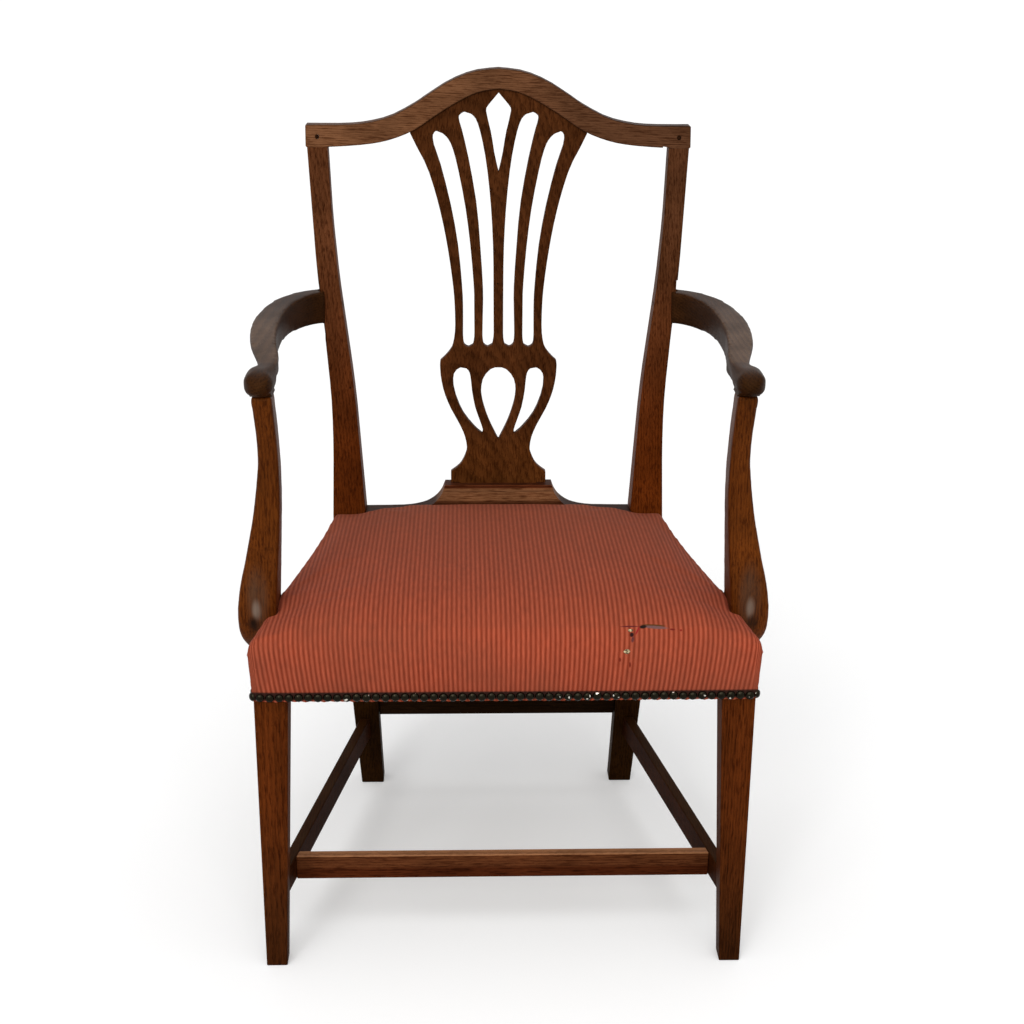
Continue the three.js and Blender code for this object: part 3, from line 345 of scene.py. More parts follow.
# Seat frame. Beech rails tenoned into the legs and posts, left bare inside,
# with a glued block in each corner. The back rail is elm, as its back shows.
beech = elm("bare beech, rails", "#8a6438", "#b08a5a", turn=(math.radians(90), 0, 0),
            ring=1.6 * MM, gloss=0.7, holes=0.3)
cross_beech = elm("bare beech, front rail and blocks", "#7e5a32", "#a88252",
                  turn=(0, math.radians(90), 0), ring=1.6 * MM, gloss=0.7, holes=0.3)


def dress(node, material):
    """Gives a CAD node that stays its finish."""
    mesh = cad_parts[node].data
    mesh.materials.clear()
    mesh.materials.append(material)


for side in ("left", "right"):
    dress("side_rail_" + side, beech)
    dress("front_corner_block_" + side, cross_beech)
    dress("back_corner_block_" + side, cross_beech)
dress("front_rail", cross_beech)

rail_elm = elm("waxed elm, back rail", "#1e0c05", "#3c1c0c", turn=(0, math.radians(90), 0))
back_rail = blank("rail_back", "back_rail")
round_arrises(back_rail, ["back_rail"], 1.0 * MM)
smooth_faces(back_rail)
settle(back_rail, rail_elm, "elm_frame", "back_rail")

# Stretchers. Thin elm bars stub-tenoned between the legs: one down each side,
# one across between them and a higher one at the back. Feet have worn their
# upper edges pale. The side and back stretchers, under the seat, are painted
# dark as shade.
side_stretch_shaded = elm("waxed elm, side stretchers", "#1e0c04", "#3a1a08",
                   turn=(math.radians(90), 0, 0), wear_and_painted_light="#33200d", shine=0.02)
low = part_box("cross_stretcher")[0]
across_stretch = elm("waxed elm, cross stretcher", "#421f0f", "#64391f",
                     turn=(0, math.radians(90), 0), wear_and_painted_light="#9c6b48", wear_and_painted_light_amount=4.0,
                     fades=[("Z", low.z + 11 * MM, low.z + 17 * MM, "#caad9e")])
back_stretch_shaded = elm("waxed elm, back stretcher", "#0f0803", "#24150a",
                   turn=(0, math.radians(90), 0))
for node, material in (("side_stretcher_left", side_stretch_shaded),
                       ("side_stretcher_right", side_stretch_shaded),
                       ("cross_stretcher", across_stretch),
                       ("back_stretcher", back_stretch_shaded)):
    bar = blank("bar_" + node, node)
    round_arrises(bar, [node], 1.5 * MM)
    smooth_faces(bar)
    settle(bar, material, "elm_stretchers", node)

# Crest rail. One board of elm sawn to a camel back, paler than the rest, its
# grain along its length, with a wooden peg through each joint to a stile.
# its right end is painted darker, as shade on the side away from the light
crest_elm = elm("waxed elm, crest", "#54331e", "#7e5539", turn=(0, math.radians(88), 0),
                heart=(0.2, 0.05, 0.1), ring=2.7 * MM, wear_and_painted_light="#2c180c", wear_and_painted_light_amount=2.6, holes=0.3,
                fades=[("X", 0.20, -0.14, "#b9b5b8")])
crest = blank("crest", "crest_rail")
round_arrises(crest, ["crest_rail", "crest_peg_left", "crest_peg_right"], 1.8 * MM)
smooth_faces(crest)
settle(crest, crest_elm, "elm_crest", "crest_rail")
peg_elm = elm("end of an oak peg", "#150a05", "#2c170b", ring=1.2 * MM, holes=0)
dress("crest_peg_left", peg_elm)
dress("crest_peg_right", peg_elm)

# Splat. A thin elm board fretted out by hand, upright grain, housed in the
# crest above and tenoned into the shoe below.
splat_elm = elm("waxed elm, splat", "#301504", "#583013", heart=(0.06, 0.1, 0), ring=3.4 * MM,
                holes=0.35, fades=[("Z", 0.54, 0.48, "#e6e7ff")])
splat = blank("fretted_splat", "splat")
# its top corners are let into the crest, so they run on up behind it
for v in splat.data.vertices:
    if abs(v.co.x) > 107 * MM and v.co.z < 890 * MM:
        v.co.x += math.copysign(2.8 * MM, v.co.x)
        v.co.y += 1.1 * MM
        v.co.z += 7.4 * MM
round_arrises(splat, ["splat"], 0.8 * MM, steps=2)
smooth_faces(splat)
settle(splat, splat_elm, "elm_splat", "splat")

# Shoe. An elm moulding glued on the back rail round the foot of the splat:
# a square fillet on top, a hollow below it, and a plinth, run straight and
# then cut away at both ends in a long hollow curve.
low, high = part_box("shoe")
# the plinth at the moulding's foot is painted darker, as shade next to the cloth
shoe_elm = elm("waxed elm, shoe", "#57311a", "#8b5e3e", turn=(0, math.radians(90), 0),
               ring=3 * MM, wear_and_painted_light="#2c1810", wear_and_painted_light_amount=3.0, holes=0.2,
               fades=[("Z", high.z - 23 * MM, high.z - 19 * MM, "#a08c84"),
                      ("Z", high.z - 3.6 * MM, high.z - 6.5 * MM, "#c8a498")])


def pick(piece, kind, chosen):
    """Opens a piece for editing with only the chosen corners or faces selected."""
    only(piece)
    bpy.ops.object.mode_set(mode="EDIT")
    bpy.ops.mesh.select_mode(type=kind)
    bpy.ops.mesh.select_all(action="DESELECT")
    bpy.ops.object.mode_set(mode="OBJECT")
    for part in piece.data.vertices if kind == "VERT" else piece.data.polygons:
        part.select = chosen(part)
    bpy.ops.object.mode_set(mode="EDIT")


moulding = blank("shoe_moulded", "shoe")
# the blank stands out 8 mm further in front, for the section to cut all along it
for v in moulding.data.vertices:
    if v.co.y < low.y + 5 * MM:
        v.co.y -= 8 * MM
# its section, from the top back edge on, as steps forward and down in millimetres
section = [(30.8, 0), (0, 1.8), (-1.5, 0.5), (-0.3, 1.4), (0.3, 1.6), (0.6, 1.6), (0.9, 1.5),
           (1.2, 1.3), (0, 41), (-32, 0), (0, -50.7)]
bpy.ops.mesh.primitive_plane_add(size=1, location=(0, 0, 0))
bar = bpy.context.object
pick(bar, "VERT", lambda v: v.co.y < 0)
bpy.ops.mesh.delete(type="VERT")
bpy.ops.object.mode_set(mode="OBJECT")
for v in bar.data.vertices:
    v.co = (math.copysign(high.x + 2 * MM, v.co.x), high.y + 1 * MM, high.z)
open_whole(bar)
for forward, down in section:
    bpy.ops.mesh.extrude_region_move(
        TRANSFORM_OT_translate={"value": (0, -forward * MM, -down * MM)})
bpy.ops.mesh.select_all(action="SELECT")
bpy.ops.mesh.remove_doubles(threshold=0.2 * MM)
bpy.ops.mesh.fill_holes(sides=0)
bpy.ops.mesh.normals_make_consistent(inside=False)
bpy.ops.object.mode_set(mode="OBJECT")
apply(moulding, "BOOLEAN", operation="INTERSECT", object=bar, solver="EXACT")
bpy.data.objects.remove(bar)
round_arrises(moulding, ["shoe"], 0.5 * MM, steps=2)
smooth_faces(moulding, 30)
settle(moulding, shoe_elm, "elm_splat", "shoe")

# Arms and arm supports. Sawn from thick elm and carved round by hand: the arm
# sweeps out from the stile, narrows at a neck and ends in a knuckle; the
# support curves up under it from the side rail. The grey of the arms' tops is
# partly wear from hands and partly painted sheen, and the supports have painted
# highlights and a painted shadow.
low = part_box("arm_left")[0]
arm_elm = elm("waxed elm, arms", "#1a0d05", "#361e0c", turn=(math.radians(90), 0, 0),
              heart=(0.1, 0.1, 0.3), ring=3.4 * MM, wear_and_painted_light="#4f3826", wear_and_painted_light_amount=2.4, gloss=0.42,
              shine=0.08, holes=0.25,
              wear_and_painted_light_between=[(low.y + 62 * MM, 4 * MM), (low.y + 262 * MM, -66 * MM)])
support_elm = elm("waxed elm, arm supports", "#391704", "#63310d", heart=(0.2, 0.2, 0),
                  ring=3.4 * MM, gloss=0.34, shine=0.12, holes=0.25,
                  # painted highlights on the front of each support's swelling, a painted shadow
                  # below them
                  painted_spots=[(Vector((way * x, -178, z)) * MM, Vector(half) * MM, tint, share)
                            for way in (-1, 1) for x, z, half, tint, share in
                            ((275, 430, (17, 24, 52), "#4a382b", 0.7),
                             (276, 418, (7, 24, 17), "#85776a", 0.75),
                             (280, 400, (9, 24, 14), "#120b09", 1.0))])


def carve(piece, own, grain, passes, makers=(), way=1):
    """Rounds a sawn piece all over, as a spokeshave does, but not where it is joined.

    Each of makers draws its free surface into a shape, mirrored where way is -1.
    """
    apply(piece, "REMESH", mode="VOXEL", voxel_size=grain)
    group = piece.vertex_groups.new(name="free")
    free = [v for v in piece.data.vertices if not touches(v.co, own, 1.2 * MM)]
    group.add([v.index for v in free], 1.0, "REPLACE")
    apply(piece, "SMOOTH", factor=0.5, iterations=passes, vertex_group="free")
    if makers:
        shapes = [maker(piece, way) for maker in makers]
        for v in piece.data.vertices:
            if v.groups:
                for drawn in shapes:
                    v.co = drawn(v.co)
        apply(piece, "SMOOTH", factor=0.5, iterations=12, vertex_group="free")
    only(piece)
    bpy.ops.object.shade_smooth()


def ease(value, start, end):
    """From 0 at start to 1 at end, without a corner at either."""
    share = min(1.0, max(0.0, (value - start) / (end - start)))
    return share * share * (3 - 2 * share)


def hollow(arm, way):
    """How the arm is rounded away below its flat top, most of all on its outer side."""
    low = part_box("arm_left")[0]
    step = 6 * MM
    sections = {}
    for v in arm.data.vertices:
        reached = sections.setdefault(round((v.co.y - low.y) / step), [])
        reached.append(way * v.co.x)
    stations = sorted(sections)
    inner = [min(sections[k]) for k in stations]
    outer = [max(sections[k]) for k in stations]

    def draw(mark):
        back = mark.y - low.y
        inside = np.interp(back / step, stations, inner)
        outside = np.interp(back / step, stations, outer)
        share = min(1.0, max(0.0, (way * mark.x - inside) / (outside - inside)))
        depth = ease(low.z + 31 * MM - mark.z, 2 * MM, 29 * MM)
        from_out = 15 * MM * ease(back, 58 * MM, 92 * MM) * ease(back, 290 * MM, 200 * MM)
        from_in = 6 * MM * ease(back, 40 * MM, 66 * MM) * ease(back, 128 * MM, 88 * MM)
        pull = depth * (from_in * (1 - share) - from_out * share)
        return Vector((mark.x + way * pull, mark.y, mark.z))

    return draw


def knuckle(_, way):
    """How the arm's end is drawn in: a ball ahead of its middle, a round neck behind."""
    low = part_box("arm_left")[0]
    neck = 55 * MM
    half = Vector((16.6, 20.5, 14.4)) * MM
    middle = Vector((-way * (low.x + 32 * MM), low.y + half.y, low.z + 19.3 * MM))

    def draw(mark):
        away = mark - middle
        if away.y > neck:
            return mark
        ball = min(away.y, 0)
        reach = math.sqrt((away.x / half.x) ** 2 + (ball / half.y) ** 2
                          + (away.z / half.z) ** 2)
        if reach <= 1:
            return mark
        share = 1 - ease(away.y, 0, neck)
        drawn = middle + Vector((away.x, ball, away.z)) / reach + Vector((0, away.y - ball, 0))
        return mark.lerp(drawn, share)

    return draw


for way, side in ((-1, "left"), (1, "right")):
    node = "arm_" + side
    arm = blank("elbow_" + side, node)
    carve(arm, [node, "arm_plug_" + side, "arm_screw_" + side], 1.7 * MM, 20,
          (hollow, knuckle), way)
    settle(arm, arm_elm, "elm_arms", node)
    node = "arm_support_" + side
    support = blank("stump_" + side, node)
    carve(support, [node, "support_screw_" + side], 1.8 * MM, 26)
    settle(support, support_elm, "elm_frame", node)
    dress("arm_plug_" + side, peg_elm)

# Screws. Hand-cut iron screws, dull with age: one under a plug through each arm
# into its stile, and one through the foot of each support into the side rail.


def fresh(name):
    """A new material, its tree, the node of its skin and one for places on a piece."""
    made = bpy.data.materials.new(name)
    made.use_nodes = True
    tree = made.node_tree
    return made, tree, tree.nodes["Principled BSDF"], add(tree, "TexCoord")


iron, tree, skin, place = fresh("dull wrought iron")
# rust in specks of 1.4 mm
rust = add(tree, "TexNoise", {"Vector": place.outputs["Object"], "Scale": 700, "Detail": 3})
shade = add(tree, "Mix", {0: rust.outputs["Fac"], 6: linear("#2e2b29"), 7: linear("#5a4636")},
            data_type="RGBA")
tree.links.new(shade.outputs[2], skin.inputs["Base Color"])
skin.inputs["Metallic"].default_value = 0.85
skin.inputs["Roughness"].default_value = 0.6
for side in ("left", "right"):
    dress("arm_screw_" + side, iron)
    dress("support_screw_" + side, iron)

# Webbing and base canvas. Strips of jute webbing are strained over the frame
# and woven through each other, and a plain hessian is tacked over them.


def sacking(name, dark, light, thread):
    """Plain-woven jute: threads over and under each other, coarse and matt."""
    made, tree, skin, place = fresh(name)
    warp, weft = (add(tree, "TexWave", {"Vector": place.outputs["Object"],
                                        "Scale": repeats(thread), "Distortion": 0.6},
                      bands_direction=way) for way in "XY")
    cloth = add(tree, "Math", {0: warp.outputs["Fac"], 1: weft.outputs["Fac"]},
                operation="MULTIPLY")
    fibre = add(tree, "TexNoise", {"Vector": place.outputs["Object"], "Scale": 420,
                                   "Detail": 3})
    tone = add(tree, "Math", {0: fibre.outputs["Fac"], 1: 0.5, 2: cloth.outputs[0]},
               operation="MULTIPLY_ADD", use_clamp=True)
    shade = add(tree, "Mix", {0: tone.outputs[0], 6: linear(dark), 7: linear(light)},
                data_type="RGBA")
    bump = add(tree, "Bump", {"Height": cloth.outputs[0], "Strength": 0.7,
                              "Distance": 0.5 * MM})
    tree.links.new(shade.outputs[2], skin.inputs["Base Color"])
    tree.links.new(bump.outputs[0], skin.inputs["Normal"])
    skin.inputs["Roughness"].default_value = 0.95
    return made


# their threads lie 2 and 1.5 mm apart, drawn a little coarser to show
jute = sacking("woven jute webbing", "#5c4a2e", "#a48a5c", 2.6 * MM)
hessian = sacking("hessian", "#6a5636", "#b09a6c", 1.9 * MM)
web = blank("webbing_strips", "seat_webbing")
settle(web, jute, "webbing", "seat_webbing")
base = blank("hessian_base", "base_canvas")
apply(base, "TRIANGULATE")
settle(base, hessian, "canvas", "base_canvas")
low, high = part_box("base_canvas")

# Seat pad. Curled hair built up on the base and stitched to a firm roll round
# the edge, then lined. It only shows where the cloth is torn or gapes.
hair = sacking("horsehair under calico", "#2c231d", "#5a4a3c", 1.2 * MM)
FRONT_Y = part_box("front_leg_left")[0].y
HALF_FRONT = 275 * MM
HALF_BACK = 210 * MM
DEPTH = 395 * MM
RAIL_TOP = 400 * MM
SLOPE = (HALF_FRONT - HALF_BACK) / DEPTH


def flank_at(y):
    """Half the width of the seat frame at a depth."""
    return HALF_FRONT - SLOPE * (y - FRONT_Y)


def sat_down(piece):
    """The front corners, ahead of the arm supports, are the softest and have sunk."""
    for v in piece.data.vertices:
        x, y, z = v.co
        flank = flank_at(y)
        aside = ease(abs(x), flank - 62 * MM, flank - 8 * MM)
        ahead = ease(y, FRONT_Y + 108 * MM, FRONT_Y + 66 * MM)
        v.co.z -= 8.5 * MM * aside * ahead * ease(z, RAIL_TOP, RAIL_TOP + 20 * MM)


pad = blank("hair_pad", "seat_stuffing")
apply(pad, "REMESH", mode="VOXEL", voxel_size=5 * MM)
# cut flat just above the base, then squeezed down and in by the cover
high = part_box("base_canvas")[1]
bottom = high.z + 0.6 * MM
open_whole(pad)
bpy.ops.mesh.bisect(plane_co=(0, 0, bottom), plane_no=(0, 0, 1), use_fill=True,
                    clear_inner=True)
bpy.ops.mesh.select_all(action="SELECT")
bpy.ops.transform.resize(value=(0.972, 0.972, 0.89),
                         center_override=(0, high.y - 0.12, bottom))
bpy.ops.object.mode_set(mode="OBJECT")
sat_down(pad)
only(pad)
bpy.ops.object.shade_smooth_by_angle(angle=math.radians(42))
settle(pad, hair, "stuffing", "seat_stuffing")

# Seat cover. One piece of corded stripe cloth, pulled down over the pad, which
# swells it, and nailed along the rails. Its ribs run from back to front and fan
# a little at the corners, and its right front edge has an old tear.
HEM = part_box("seat_cover")[0].z
LIP = 4.6 * MM
CORNER = 4 * MM
CLOTH = 1.6 * MM
RIB = 5.18 * MM
PITCH = 10.4 * MM
SWELLING = 20  # frames
MOST_SWELL = 4 * MM

# one lump to drape: the cover, the pad under it and a block as large as the frame
cover = blank("ribbed_cover", "seat_cover", "seat_stuffing")
bpy.ops.mesh.primitive_cube_add(size=1, location=(0, 0, 0))
former = bpy.context.object
pick(former, "VERT", lambda v: v.co.y > 0)
bpy.ops.transform.resize(value=(HALF_BACK / HALF_FRONT, 1, 1))
bpy.ops.mesh.select_all(action="SELECT")
bpy.ops.transform.resize(value=(2 * HALF_FRONT + 1.4 * MM, DEPTH + 0.4 * MM, 76 * MM))
bpy.ops.transform.translate(value=(0, FRONT_Y + DEPTH / 2 - 0.4 * MM, HEM + 32 * MM))
bpy.ops.object.mode_set(mode="OBJECT")
only(cover)
former.select_set(True)
bpy.ops.object.join()
edges_of_wood = ["arm_support_left", "arm_support_right", "back_post_left", "back_post_right",
                 "shoe"]


def pull_down(piece, grain):
    """Gives the cover one even mesh, open below, whose hem hangs a lip past the nails."""
    apply(piece, "REMESH", mode="VOXEL", voxel_size=grain)
    open_whole(piece)
    bpy.ops.mesh.bisect(plane_co=(0, 0, HEM - LIP), plane_no=(0, 0, 1), clear_inner=True)
    bpy.ops.object.mode_set(mode="OBJECT")
    nailed = piece.vertex_groups.new(name="nailed")
    loose = piece.vertex_groups.new(name="loose")
    for v in piece.data.vertices:
        by_wood = any(skins[n].find_nearest(v.co, 5 * MM)[0] is not None for n in edges_of_wood)
        if v.co.z < HEM + 8 * MM or by_wood or v.co.y > FRONT_Y + DEPTH - 4 * MM:
            nailed.add([v.index], 1.0, "REPLACE")
        if v.co.z > HEM + 1 * MM:
            loose.add([v.index], 1.0, "REPLACE")
    apply(piece, "SMOOTH", factor=0.5, iterations=3, vertex_group="loose")


# the swelling is simulated on an open copy with a coarser mesh, and carried over
bag = bpy.data.objects.new("bag", cover.data.copy())
bpy.context.scene.collection.objects.link(bag)
pull_down(bag, 8 * MM)
before = np.array([v.co[:] for v in bag.data.vertices])
bpy.ops.object.modifier_add(type="CLOTH")
cloth = bag.modifiers[-1]
cloth.settings.vertex_group_mass = "nailed"
cloth.settings.quality = 4
cloth.settings.mass = 0.3
cloth.settings.tension_stiffness = 12
cloth.settings.compression_stiffness = 12
cloth.settings.shear_stiffness = 5
cloth.settings.bending_stiffness = 0.4
cloth.settings.use_pressure = True
cloth.settings.uniform_pressure_force = 4
cloth.settings.effector_weights.gravity = 0
for step in range(1, SWELLING + 1):
    bpy.context.scene.frame_set(step)
bpy.ops.object.modifier_apply(modifier=cloth.name)
bpy.context.scene.frame_set(1)
move = np.array([v.co[:] for v in bag.data.vertices]) - before
lookup = KDTree(len(before))
for i, spot in enumerate(before):
    lookup.insert(spot, i)
lookup.balance()
bpy.data.objects.remove(bag)

pull_down(cover, 4 * MM)
for v in cover.data.vertices:
    near = lookup.find_n(v.co, 5)
    share = np.array([1 / (gap * gap + 1e-6) for _, _, gap in near])
    swell = Vector((move[[i for _, i, _ in near]] * share[:, None]).sum(0) / share.sum())
    v.co += swell * min(1.0, MOST_SWELL / max(swell.length, 1e-9))

sat_down(cover)

# Over the wood it lies close, a cloth's thickness proud
for v in cover.data.vertices:
    x, y, z = v.co
    flank = flank_at(y)
    if z < RAIL_TOP + 4 * MM and y < FRONT_Y + 6 * MM:
        v.co.y = min(y, FRONT_Y - CLOTH)
    if abs(x) > flank - 6 * MM:
        over = ease(z, RAIL_TOP + 18 * MM, RAIL_TOP + 2 * MM)
        v.co.x += math.copysign(over * max(0.0, flank + CLOTH - abs(x)), x)

# At the back it is full under the shoe
for v in cover.data.vertices:
    if v.co.z > RAIL_TOP + 4 * MM:
        v.co.z += 2.0 * MM * ease(v.co.y, FRONT_Y + 320 * MM, FRONT_Y + 375 * MM)

# It is cut round the arm supports and lies close against them
for v in cover.data.vertices:
    for node in ("arm_support_left", "arm_support_right"):
        spot, _, _, gap = skins[node].find_nearest(v.co, 7 * MM)
        if spot and v.co.z > RAIL_TOP + 2 * MM and gap > 1 * MM:
            v.co += (spot - v.co) * (1 - 1 * MM / gap) * 0.8

# Its raw lower edge frays out between the nails
for v in cover.data.vertices:
    if v.co.z < HEM - 2.4 * MM:
        run = v.co.x if v.co.y < FRONT_Y + 3 * MM else v.co.y
        v.co.z += 3.2 * MM * abs(math.sin(run * math.pi / PITCH)) ** 0.7

# At the back it ends on top of the rail, under the shoe
pick(cover, "FACE", lambda face: (face.center.y > FRONT_Y + DEPTH - 3 * MM
                                  and face.center.z < RAIL_TOP + 3 * MM))
bpy.ops.mesh.delete(type="FACE")
bpy.ops.object.mode_set(mode="OBJECT")
apply(cover, "SMOOTH", factor=0.5, iterations=2, vertex_group="loose")
apply(cover, "SUBSURF", levels=1, render_levels=1)
only(cover)
bpy.ops.object.shade_smooth()

# Threads: how far each point lies across the ribs and along them. Pulled over
# the front edge, the ribs spread a little towards the corners.
BEND = 0.14  # how softly that ends, as a share of the drop
SPREAD = 0.032
laid = []
for v in cover.data.vertices:
    x, y, z = v.co
    back = y - FRONT_Y
    edge = RAIL_TOP + 13 * MM - 14 * MM * back / DEPTH
    drop = max(0.0, edge - z)
    aside = abs(x) - (flank_at(y) - CORNER)
    ahead = CORNER - back
    turn = math.atan2(max(aside, 0), max(ahead, 1e-6)) / (math.pi / 2)
    rise = (z - HEM) / (edge - HEM)
    if rise > 1 - BEND:
        rise = 1 - max(0.0, 1 + BEND - rise) ** 2 / (4 * BEND)
    spread = 1 + SPREAD * rise * (1 - turn)
    laid.append((x / spread + math.copysign(turn * drop, x), back - (1 - turn) * drop, turn))
weave = cover.data.attributes.new("weave", "FLOAT_VECTOR", "POINT")
weave.data.foreach_set("vector", np.array(laid, np.float32).ravel())

# Wool cloth woven in cords, orange on brick red, matt and soiled. Its yarn is half a
# millimetre thick, too fine to show, so it is drawn at 2 mm, with slubs of 11 mm.
ribbed, tree, skin, place = fresh("corded stripe cloth")
threads = add(tree, "Attribute", attribute_name="weave")
cords = add(tree, "TexWave", {"Vector": threads.outputs["Vector"],
                              "Scale": repeats(RIB), "Distortion": 0.25,
                              "Detail": 2, "Detail Scale": 30}, bands_direction="X")
drawn = add(tree, "Mapping", {"Vector": threads.outputs["Vector"], "Scale": (1, 0.15, 1)})
yarn = add(tree, "TexNoise", {"Vector": drawn.outputs[0], "Scale": 500, "Detail": 2})
slub = add(tree, "TexNoise", {"Vector": drawn.outputs[0], "Scale": 90, "Detail": 2})
soil = add(tree, "TexNoise", {"Vector": place.outputs["Object"], "Scale": 9, "Detail": 4})
stripe = add(tree, "Mix", {0: cords.outputs["Fac"], 6: linear("#7a2c15"),
                           7: linear("#a64e35")}, data_type="RGBA")
thread = add(tree, "MapRange", {"Value": yarn.outputs["Fac"], "From Min": 0.3,
                                "From Max": 0.7, "To Min": 0.86, "To Max": 1.14})
lump = add(tree, "MapRange", {"Value": slub.outputs["Fac"], "From Min": 0.3,
                              "From Max": 0.7, "To Min": 0.93, "To Max": 1.07})
value = add(tree, "Math", {0: thread.outputs[0], 1: lump.outputs[0]}, operation="MULTIPLY")
spun = add(tree, "HueSaturation", {"Color": stripe.outputs[2], "Value": value.outputs[0]})
# dirt in patches of 110 mm all over, and painted shade on the faces that look up, deepening
# towards the back
spot = add(tree, "SeparateXYZ", {0: place.outputs["Object"]})
painted_shade_on_top = add(tree, "MapRange", {"Value": spot.outputs["Y"], "From Min": FRONT_Y + 10 * MM,
                                "From Max": FRONT_Y + DEPTH, "To Min": 0.16, "To Max": 0.6})
up = add(tree, "SeparateXYZ", {0: place.outputs["Normal"]})
level = add(tree, "MapRange", {"Value": up.outputs["Z"], "From Min": 0.5, "From Max": 0.9})
painted_shade_on_top = add(tree, "Math", {0: painted_shade_on_top.outputs[0], 1: level.outputs[0]}, operation="MULTIPLY")
dirt_and_shade = add(tree, "MapRange", {"Value": soil.outputs["Fac"], "From Min": 0.42,
                              "From Max": 0.7, "To Max": 0.34})
dirt_and_shade = add(tree, "Math", {0: dirt_and_shade.outputs[0], 1: painted_shade_on_top.outputs[0]}, operation="MAXIMUM")
soiled_and_shaded = add(tree, "Mix", {0: dirt_and_shade.outputs[0], 6: spun.outputs[0], 7: linear("#663a28")},
             data_type="RGBA")
# a near-black band behind the nails, darker than the cloth above
above = add(tree, "MapRange", {"Value": spot.outputs["Z"], "From Min": HEM + 10.5 * MM,
                               "From Max": HEM + 8.5 * MM, "To Max": 0.93})
below = add(tree, "MapRange", {"Value": spot.outputs["Z"], "From Min": HEM - 1.6 * MM,
                               "From Max": HEM + 0.4 * MM})
nail_band = add(tree, "Math", {0: above.outputs[0], 1: below.outputs[0]}, operation="MULTIPLY")
nail_banded = add(tree, "Mix", {0: nail_band.outputs[0], 6: soiled_and_shaded.outputs[2], 7: linear("#170d08")},
            data_type="RGBA")
height = add(tree, "Math", {0: yarn.outputs["Fac"], 1: 0.25, 2: cords.outputs["Fac"]},
             operation="MULTIPLY_ADD")

# The old tear: a slit along the top of the front roll that gapes at its middle
# and shows the lining, pulled threads at its ends, and a rip down from it. Each
# mark has its place, its half sizes across and along the ribs, all in millimetres,
# its slant in degrees, its colour and its depth.
worn_cover = skin_of(cover.data)
DOWN = Vector((0.107, 0.908, -0.404))


def place_on_cover(x, z):
    """Where the cover is, and which way it faces, looked down on from in front."""
    start = Vector((x, FRONT_Y - 3 * MM, z)) - DOWN * 80 * MM
    spot, facing, _, _ = worn_cover.ray_cast(start, DOWN)
    return spot, facing


last = nail_banded.outputs[2]
# The near-black marks, at the slit's gape and in the rip, are painted shade inside the openings.
for x, z, across_ribs, along_ribs, slant, tint, depth in (
        (132.7, 428.4, 12.0, 1.0, 0, "#5a1a1c", 2.0),
        (158.5, 429.5, 15.5, 1.7, -4, "#50300f", 1.0),
        (160.0, 427.4, 16.5, 2.2, -5, "#6a4a48", 0.0),
        (147.2, 428.0, 4.6, 2.6, 8, "#160905", 6.0),
        (179.4, 424.6, 3.6, 1.2, -4, "#681a12", 2.0),
        (188.6, 423.6, 1.5, 1.5, 0, "#7e2014", 2.0),
        (141.4, 423.4, 1.0, 6.4, -26, "#8a1a1e", 1.0),
        (135.4, 418.6, 2.5, 3.2, -8, "#240809", 6.0),
        (136.6, 413.0, 1.9, 4.0, -12, "#5c2c2a", 2.0),
        (123.4, 389.0, 1.6, 2.8, 0, "#6e2210", 2.0),
        (134.6, 383.0, 1.3, 4.0, 0, "#6e2210", 2.0)):
    spot, facing = place_on_cover(x * MM, z * MM)
    across = (Vector((1, 0, 0)) - facing * facing.x).normalized()
    lie = Matrix((across, facing.cross(across), facing)).transposed()
    lie = lie @ Matrix.Rotation(math.radians(slant), 3, "Z")
    inside = add(tree, "Mapping", {"Vector": place.outputs["Object"], "Location": spot,
                                   "Rotation": lie.to_euler(),
                                   "Scale": Vector((across_ribs, along_ribs, 5)) * MM},
                 vector_type="TEXTURE")
    inside = add(tree, "TexGradient", {"Vector": inside.outputs[0]}, gradient_type="SPHERICAL")
    inside = add(tree, "MapRange", {"Value": inside.outputs["Fac"], "From Max": 0.4})
    torn = add(tree, "Mix", {0: inside.outputs[0], 6: last, 7: linear(tint)}, data_type="RGBA")
    last = torn.outputs[2]
    height = add(tree, "Math", {0: inside.outputs[0], 1: -depth, 2: height.outputs[0]},
                 operation="MULTIPLY_ADD")

bump = add(tree, "Bump", {"Height": height.outputs[0], "Strength": 0.5, "Distance": 0.5 * MM})
tree.links.new(last, skin.inputs["Base Color"])
tree.links.new(bump.outputs[0], skin.inputs["Normal"])
skin.inputs["Roughness"].default_value = 0.95
skin.inputs["Specular IOR Level"].default_value = 0.2
settle(cover, ribbed, "ribbed_cloth", "seat_cover")

